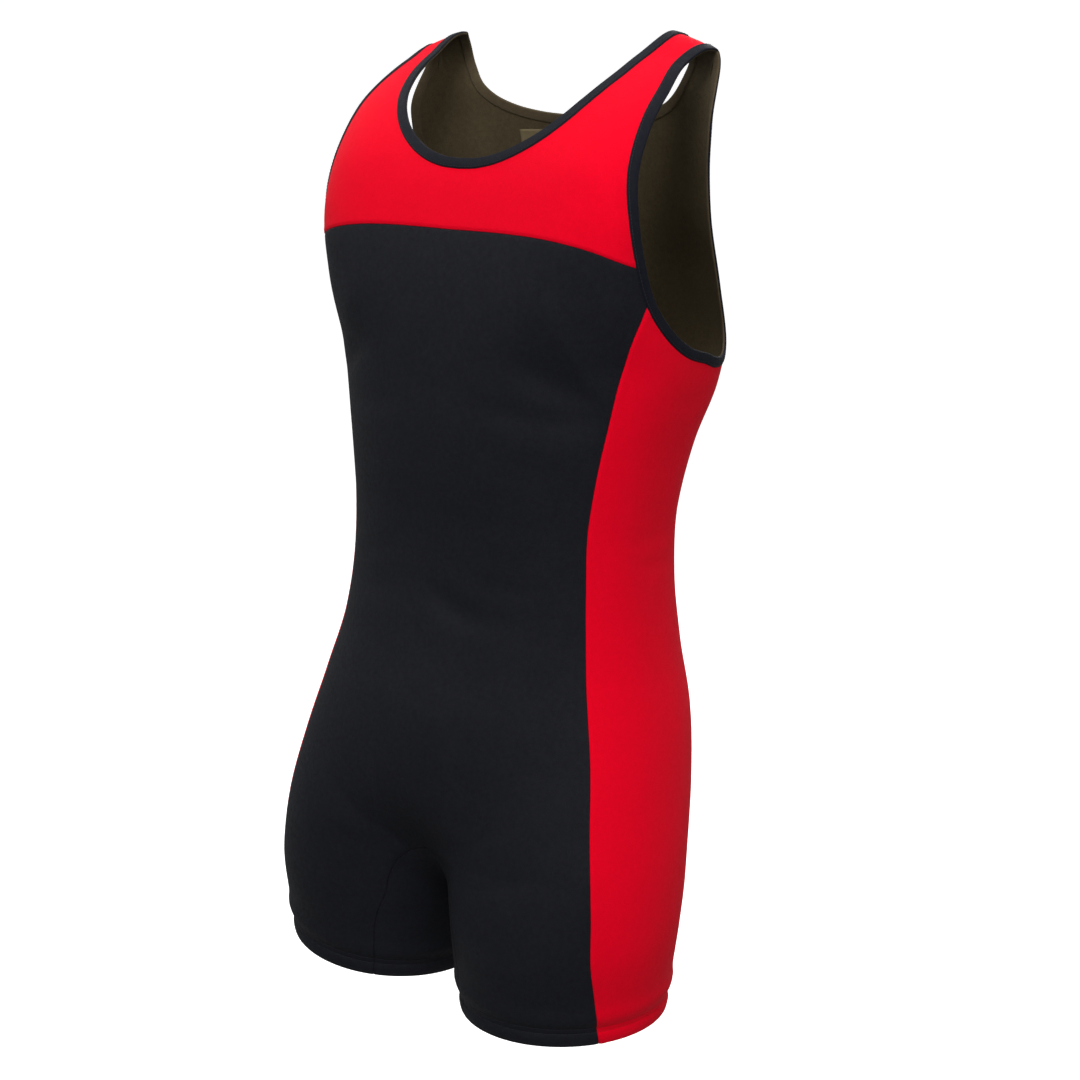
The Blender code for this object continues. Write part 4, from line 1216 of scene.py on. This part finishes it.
def stitch_piece(name, rows, material):
    """All the stitches of some rows as one mesh, riding on the one body."""
    shapes = [stitch_shapes(*stitched(points, normals)) for points, normals in rows]
    starts = np.cumsum([0] + [len(points) for points, _ in shapes[:-1]])
    faces = np.concatenate([every + start for (_, every), start in zip(shapes, starts)])
    piece = new_piece(name, np.concatenate([points for points, _ in shapes]), faces, material)
    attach(piece, "root")


def hem_rows(sheets):
    """Both stitch rows on both legs for these half panels, lying on the cloth with its folds."""
    rows = []
    for sheet in sheets:
        for distance in HEM_ROWS:
            points, normals, relief = row_above_hem(sheet, distance)
            for sign in (1, -1):
                toward = on_side(sign)
                lift = relief[:, 0] + fold_relief(points * toward) + HEM_STITCH_LIFT
                rows.append((points * toward + lift[:, None] * normals * toward, normals * toward))
    return rows


BLACK_THREAD = thread_material("black_thread", (0.022, 0.023, 0.029))
RED_THREAD = thread_material("red_thread", (0.70, 0.0015, 0.012))
black_rows = hem_rows([front_sheet, back_sheet, gusset_sheet])
stitch_piece("hem_stitching_black", black_rows, BLACK_THREAD)
stitch_piece("hem_stitching_red", hem_rows([side_sheet]), RED_THREAD)

# Bindings: a black knit strip folded over the cut edge of the neckline and of each armhole and sewn
# through, so it stands a little proud, rounds over at the free edge and shows inside as well.
BINDING_CLOTH = knit_material(
    "binding_knit", yarn=(0.0105, 0.0115, 0.0180), shade=(0.0050, 0.0055, 0.0085), mottle=0.7,
    roughness=0.55, bump=0.5, gloss=0.07, sheen=0.012, tint=(0.8, 0.87, 1),
)
BINDING_INSIDE = knit_material(
    "binding_inside", yarn=(0.105, 0.080, 0.047), shade=(0.058, 0.043, 0.025), mottle=0.7,
    roughness=0.8, bump=0.45, gloss=0.05, sheen=0.01, tint=(1, 0.9, 0.75),
)
STRIP_THICKNESS = 0.0005
CROWN = 0.00125
CROWN_INSIDE = 0.0010
CROWN_FULL = 2.4
CROWN_FALL = 0.10
CROWN_POINTS, FOLD_POINTS = 15, 11
FOLD_ROUND = 0.0011
BINDING_MESH = 0.0030
PROFILE_STEP = 0.0008


def crowned(share, height):
    """Height across a strip: a flat ellipse's rise over its first half, then a slight fall to the fold."""
    rise = (1 - np.abs(1 - np.minimum(2 * share, 1)) ** CROWN_FULL) ** (1 / CROWN_FULL)
    return height * np.where(share > 0.5, 1 - CROWN_FALL * ((share - 0.5) / 0.5) ** 2, rise)


def band_profile():
    """The strip's section, as distance from the sewn line and height over the cloth, outside to inside.

    Outside and inside are crowned like flat ellipses, joined by a half circle at the free edge.
    """
    flat = BINDING_WIDTH - FOLD_ROUND
    share = (1 - np.cos(np.linspace(0, np.pi / 2, CROWN_POINTS))) ** 0.9
    outside_a = flat * share
    outside_h = crowned(share, CROWN)
    turn = np.linspace(0, np.pi, FOLD_POINTS + 2)[1:-1]
    half = (outside_h[-1] + CROWN_INSIDE * (1 - CROWN_FALL) + CLOTH_THICKNESS) / 2
    fold_a = flat + FOLD_ROUND * np.sin(turn)
    fold_h = outside_h[-1] - half + half * np.cos(turn)
    inside_a = outside_a[::-1]
    inside_h = crowned(share[::-1], CROWN_INSIDE)
    away = np.concatenate([outside_a, fold_a, inside_a])
    height = np.concatenate([outside_h, fold_h, -CLOTH_THICKNESS - inside_h])
    return away, height


def band_points(free, sewn, away, height):
    """Points over a band between its sewn and free lines, at a distance from the sewn line and a height."""
    share = (np.asarray(away) / BINDING_WIDTH)[None, :, None]
    line = (1 - share) * sewn[:, None] + share * free[:, None]
    points = skin(line[..., 0], line[..., 1])
    normals = outward(line[..., 0], line[..., 1])
    return points + np.asarray(height)[None, :, None] * normals, normals


def even_along(path):
    """Indices that cut a line into equal lengths of about the binding's mesh size."""
    run = lengths(path)
    count = int(round(run[-1] / BINDING_MESH))
    return np.interp(np.linspace(0, run[-1], count + 1), run, np.arange(len(path)))


def inside_out(points, faces):
    """Whether a closed mesh's faces look inward: the volume that its quads enclose is negative."""
    a, b, c, d = points[faces].transpose(1, 0, 2)
    return np.sum(a * (np.cross(b, c) + np.cross(c, d))) < 0


def band_shell(name, outer, inner):
    """A closed strip from rings of an outer and an inner line of points, joined at both sewn edges.

    Past the fold in the middle of its section the strip shows inside the garment.
    """
    count, wide = outer.shape[:2]
    rings = np.concatenate([outer, inner[:, ::-1]], 1)
    around = rings.shape[1]
    index = np.arange(count * around).reshape(count, around)
    ahead_ring = np.roll(index, -1, 0)
    faces = np.stack([index, ahead_ring, np.roll(ahead_ring, -1, 1), np.roll(index, -1, 1)], -1)
    slots = np.zeros((count, around), np.int32)
    slots[:, wide // 2 :] = 1
    step = np.linalg.norm(np.roll(rings, -1, 0) - rings, axis=-1).mean(1)
    u = np.concatenate([[0], np.cumsum(step)])
    v = np.linspace(0, wide * PROFILE_STEP, wide)
    v = np.concatenate([v, v[::-1]])
    corner_u = np.stack([u[:-1], u[1:], u[1:], u[:-1]], -1)[:, None, :] + np.zeros((1, around, 1))
    corner_v = np.stack([v, v, np.roll(v, -1), np.roll(v, -1)], -1)[None] + np.zeros((count, 1, 1))
    points = rings.reshape(-1, 3)
    faces = faces.reshape(-1, 4)
    uv = np.stack([corner_v, corner_u], -1).reshape(-1, 4, 2)
    if inside_out(points, faces):
        faces = faces[:, ::-1]
        uv = uv[:, ::-1]
    piece = new_piece(name, points, faces, BINDING_CLOTH)
    piece.data.materials.append(BINDING_INSIDE)
    piece.data.polygons.foreach_set("material_index", slots.ravel())
    lay_cloth(piece, uv)
    piece.data.set_sharp_from_angle(angle=SHARP_FROM)
    return piece


def strip_lines(free, sewn):
    """Outer and inner faces of the folded strip along an edge."""
    away, height = band_profile()
    slope_a = np.gradient(away)
    slope_h = np.gradient(height)
    size = np.hypot(slope_a, slope_h) + 1e-12
    inner_away = away + STRIP_THICKNESS * slope_h / size
    inner_height = height - STRIP_THICKNESS * slope_a / size
    return band_points(free, sewn, away, height)[0], band_points(free, sewn, inner_away, inner_height)[0]


SEWN = bound_lines(BINDING_WIDTH)
STRIP_STRETCH = 1.1

neck_free, neck_sewn = SEWN["neck"]
neck_at = even_along(neck_sewn)
neck_free_line, neck_sewn_line = at_index(neck_free, neck_at), at_index(neck_sewn, neck_at)
neck_outer, neck_inner = strip_lines(neck_free_line, neck_sewn_line)
for ends in (neck_outer, neck_inner):
    ends[[0, -1], :, 0] = 0.0
neck_binding = band_shell(
    "neck_binding_cloth",
    np.concatenate([neck_outer, neck_outer[1:-1][::-1] * MIRROR]),
    np.concatenate([neck_inner, neck_inner[1:-1][::-1] * MIRROR]),
)
neck_cut = round(2 * lengths(neck_sewn)[-1] / STRIP_STRETCH, 3)
declare(neck_binding, "neck_binding")

arm_free, arm_sewn = SEWN["armhole"]
arm_at = even_along(arm_sewn)[:-1]
arm_free_line, arm_sewn_line = at_index(arm_free, arm_at), at_index(arm_sewn, arm_at)
arm_outer, arm_inner = strip_lines(arm_free_line, arm_sewn_line)
arm_cut = round(lengths(arm_sewn)[-1] / STRIP_STRETCH, 3)
for side_name, side_sign in SIDES:
    node = "armhole_binding_" + side_name
    arm_binding = band_shell(node + "_cloth", arm_outer * on_side(side_sign), arm_inner * on_side(side_sign))
    declare(arm_binding, node)

BAND_STITCH_FROM_EDGE = 0.0016
BAND_STITCH_LIFT = 0.0001


def band_row(free_line, sewn_line, inside):
    """A stitch row along a binding, on its outer or its inner face, near the sewn edge."""
    away, height = band_profile()
    middle = len(away) // 2
    half = slice(None, middle, -1) if inside else slice(0, middle)
    face = -1 if inside else 1
    level_here = np.interp(BAND_STITCH_FROM_EDGE, away[half], height[half]) + face * BAND_STITCH_LIFT
    points, normals = band_points(free_line, sewn_line, [BAND_STITCH_FROM_EDGE], [level_here])
    return points[:, 0], normals[:, 0] * face


outside_rows, inside_rows = [], []
for free_line, sewn_line in ((neck_free_line, neck_sewn_line), (arm_free_line, arm_sewn_line)):
    for inside, rows_here in ((False, outside_rows), (True, inside_rows)):
        points, normals = band_row(free_line, sewn_line, inside)
        for sign in (1, -1):
            rows_here.append((points * on_side(sign), normals * on_side(sign)))
stitch_piece("binding_stitching", outside_rows, BLACK_THREAD)
OLIVE_THREAD = thread_material("olive_thread", (0.085, 0.066, 0.040))
stitch_piece("binding_stitching_inside", inside_rows, OLIVE_THREAD)

# Label: a small plain woven patch inside the back of the neck, under the binding. Its edges are turned
# under, and it is sewn flat to the inner face of the back panel.
LABEL_CENTRE_X = -0.040
LABEL_WIDTH = 0.066
LABEL_DROP = 0.036
LABEL_BELOW_BINDING = 0.0035
LABEL_THICKNESS = 0.0006
LABEL_GAP = 0.0003
LABEL_SWELL = (0.0016, 0.0009, 0.00022)
LABEL_EDGE = 0.0006
LABEL_EDGE_THINNED = 0.0003
LABEL_CLOTH = knit_material(
    "label_weave", yarn=(0.185, 0.148, 0.082), shade=(0.130, 0.100, 0.055), mottle=0.7,
    roughness=0.75, bump=0.3, gloss=0.06, sheen=0.01, tint=(1, 0.9, 0.7),
)


def label_shell(rows=28, columns=48):
    """A flat patch on the back panel's inner face, with a low swell just inside its thin edges."""
    top = neck_sewn[0, 0] + LABEL_BELOW_BINDING
    share_x, share_s = np.meshgrid(np.linspace(-1, 1, columns), np.linspace(0, 1, rows))
    across = -LABEL_CENTRE_X - share_x * LABEL_WIDTH / 2
    station = top + share_s * LABEL_DROP
    turn = np.pi - np.arcsin(across / section(station.ravel())["side_x"].reshape(station.shape))
    points = skin(station, turn)
    normals = outward(station, turn)
    relief = fold_relief((points * MIRROR).reshape(-1, 3)).reshape(station.shape)
    edge = np.minimum(
        LABEL_WIDTH / 2 * (1 - np.abs(share_x)),
        LABEL_DROP * np.minimum(share_s, 1 - share_s),
    )
    place, width, height = LABEL_SWELL
    swell = height * bell(edge, place, width) - LABEL_EDGE_THINNED * np.clip(1 - edge / LABEL_EDGE, 0, 1)
    near = relief - CLOTH_THICKNESS - LABEL_GAP
    outer = (points + near[..., None] * normals) * MIRROR
    inner = (points + (near - LABEL_THICKNESS - swell)[..., None] * normals) * MIRROR
    every = closed_sheet(grid_faces(rows, columns)[:, ::-1], rows * columns)
    both = np.concatenate([outer.reshape(-1, 3), inner.reshape(-1, 3)])
    if inside_out(both, every):
        every = every[:, ::-1]
    piece = new_piece("neck_label_cloth", both, every, LABEL_CLOTH)
    cloth = np.stack([across, station], -1).reshape(-1, 2)
    lay_cloth(piece, np.concatenate([cloth, cloth])[every.ravel()])
    return piece


label = label_shell()
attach(label, "root")
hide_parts("neck_label")
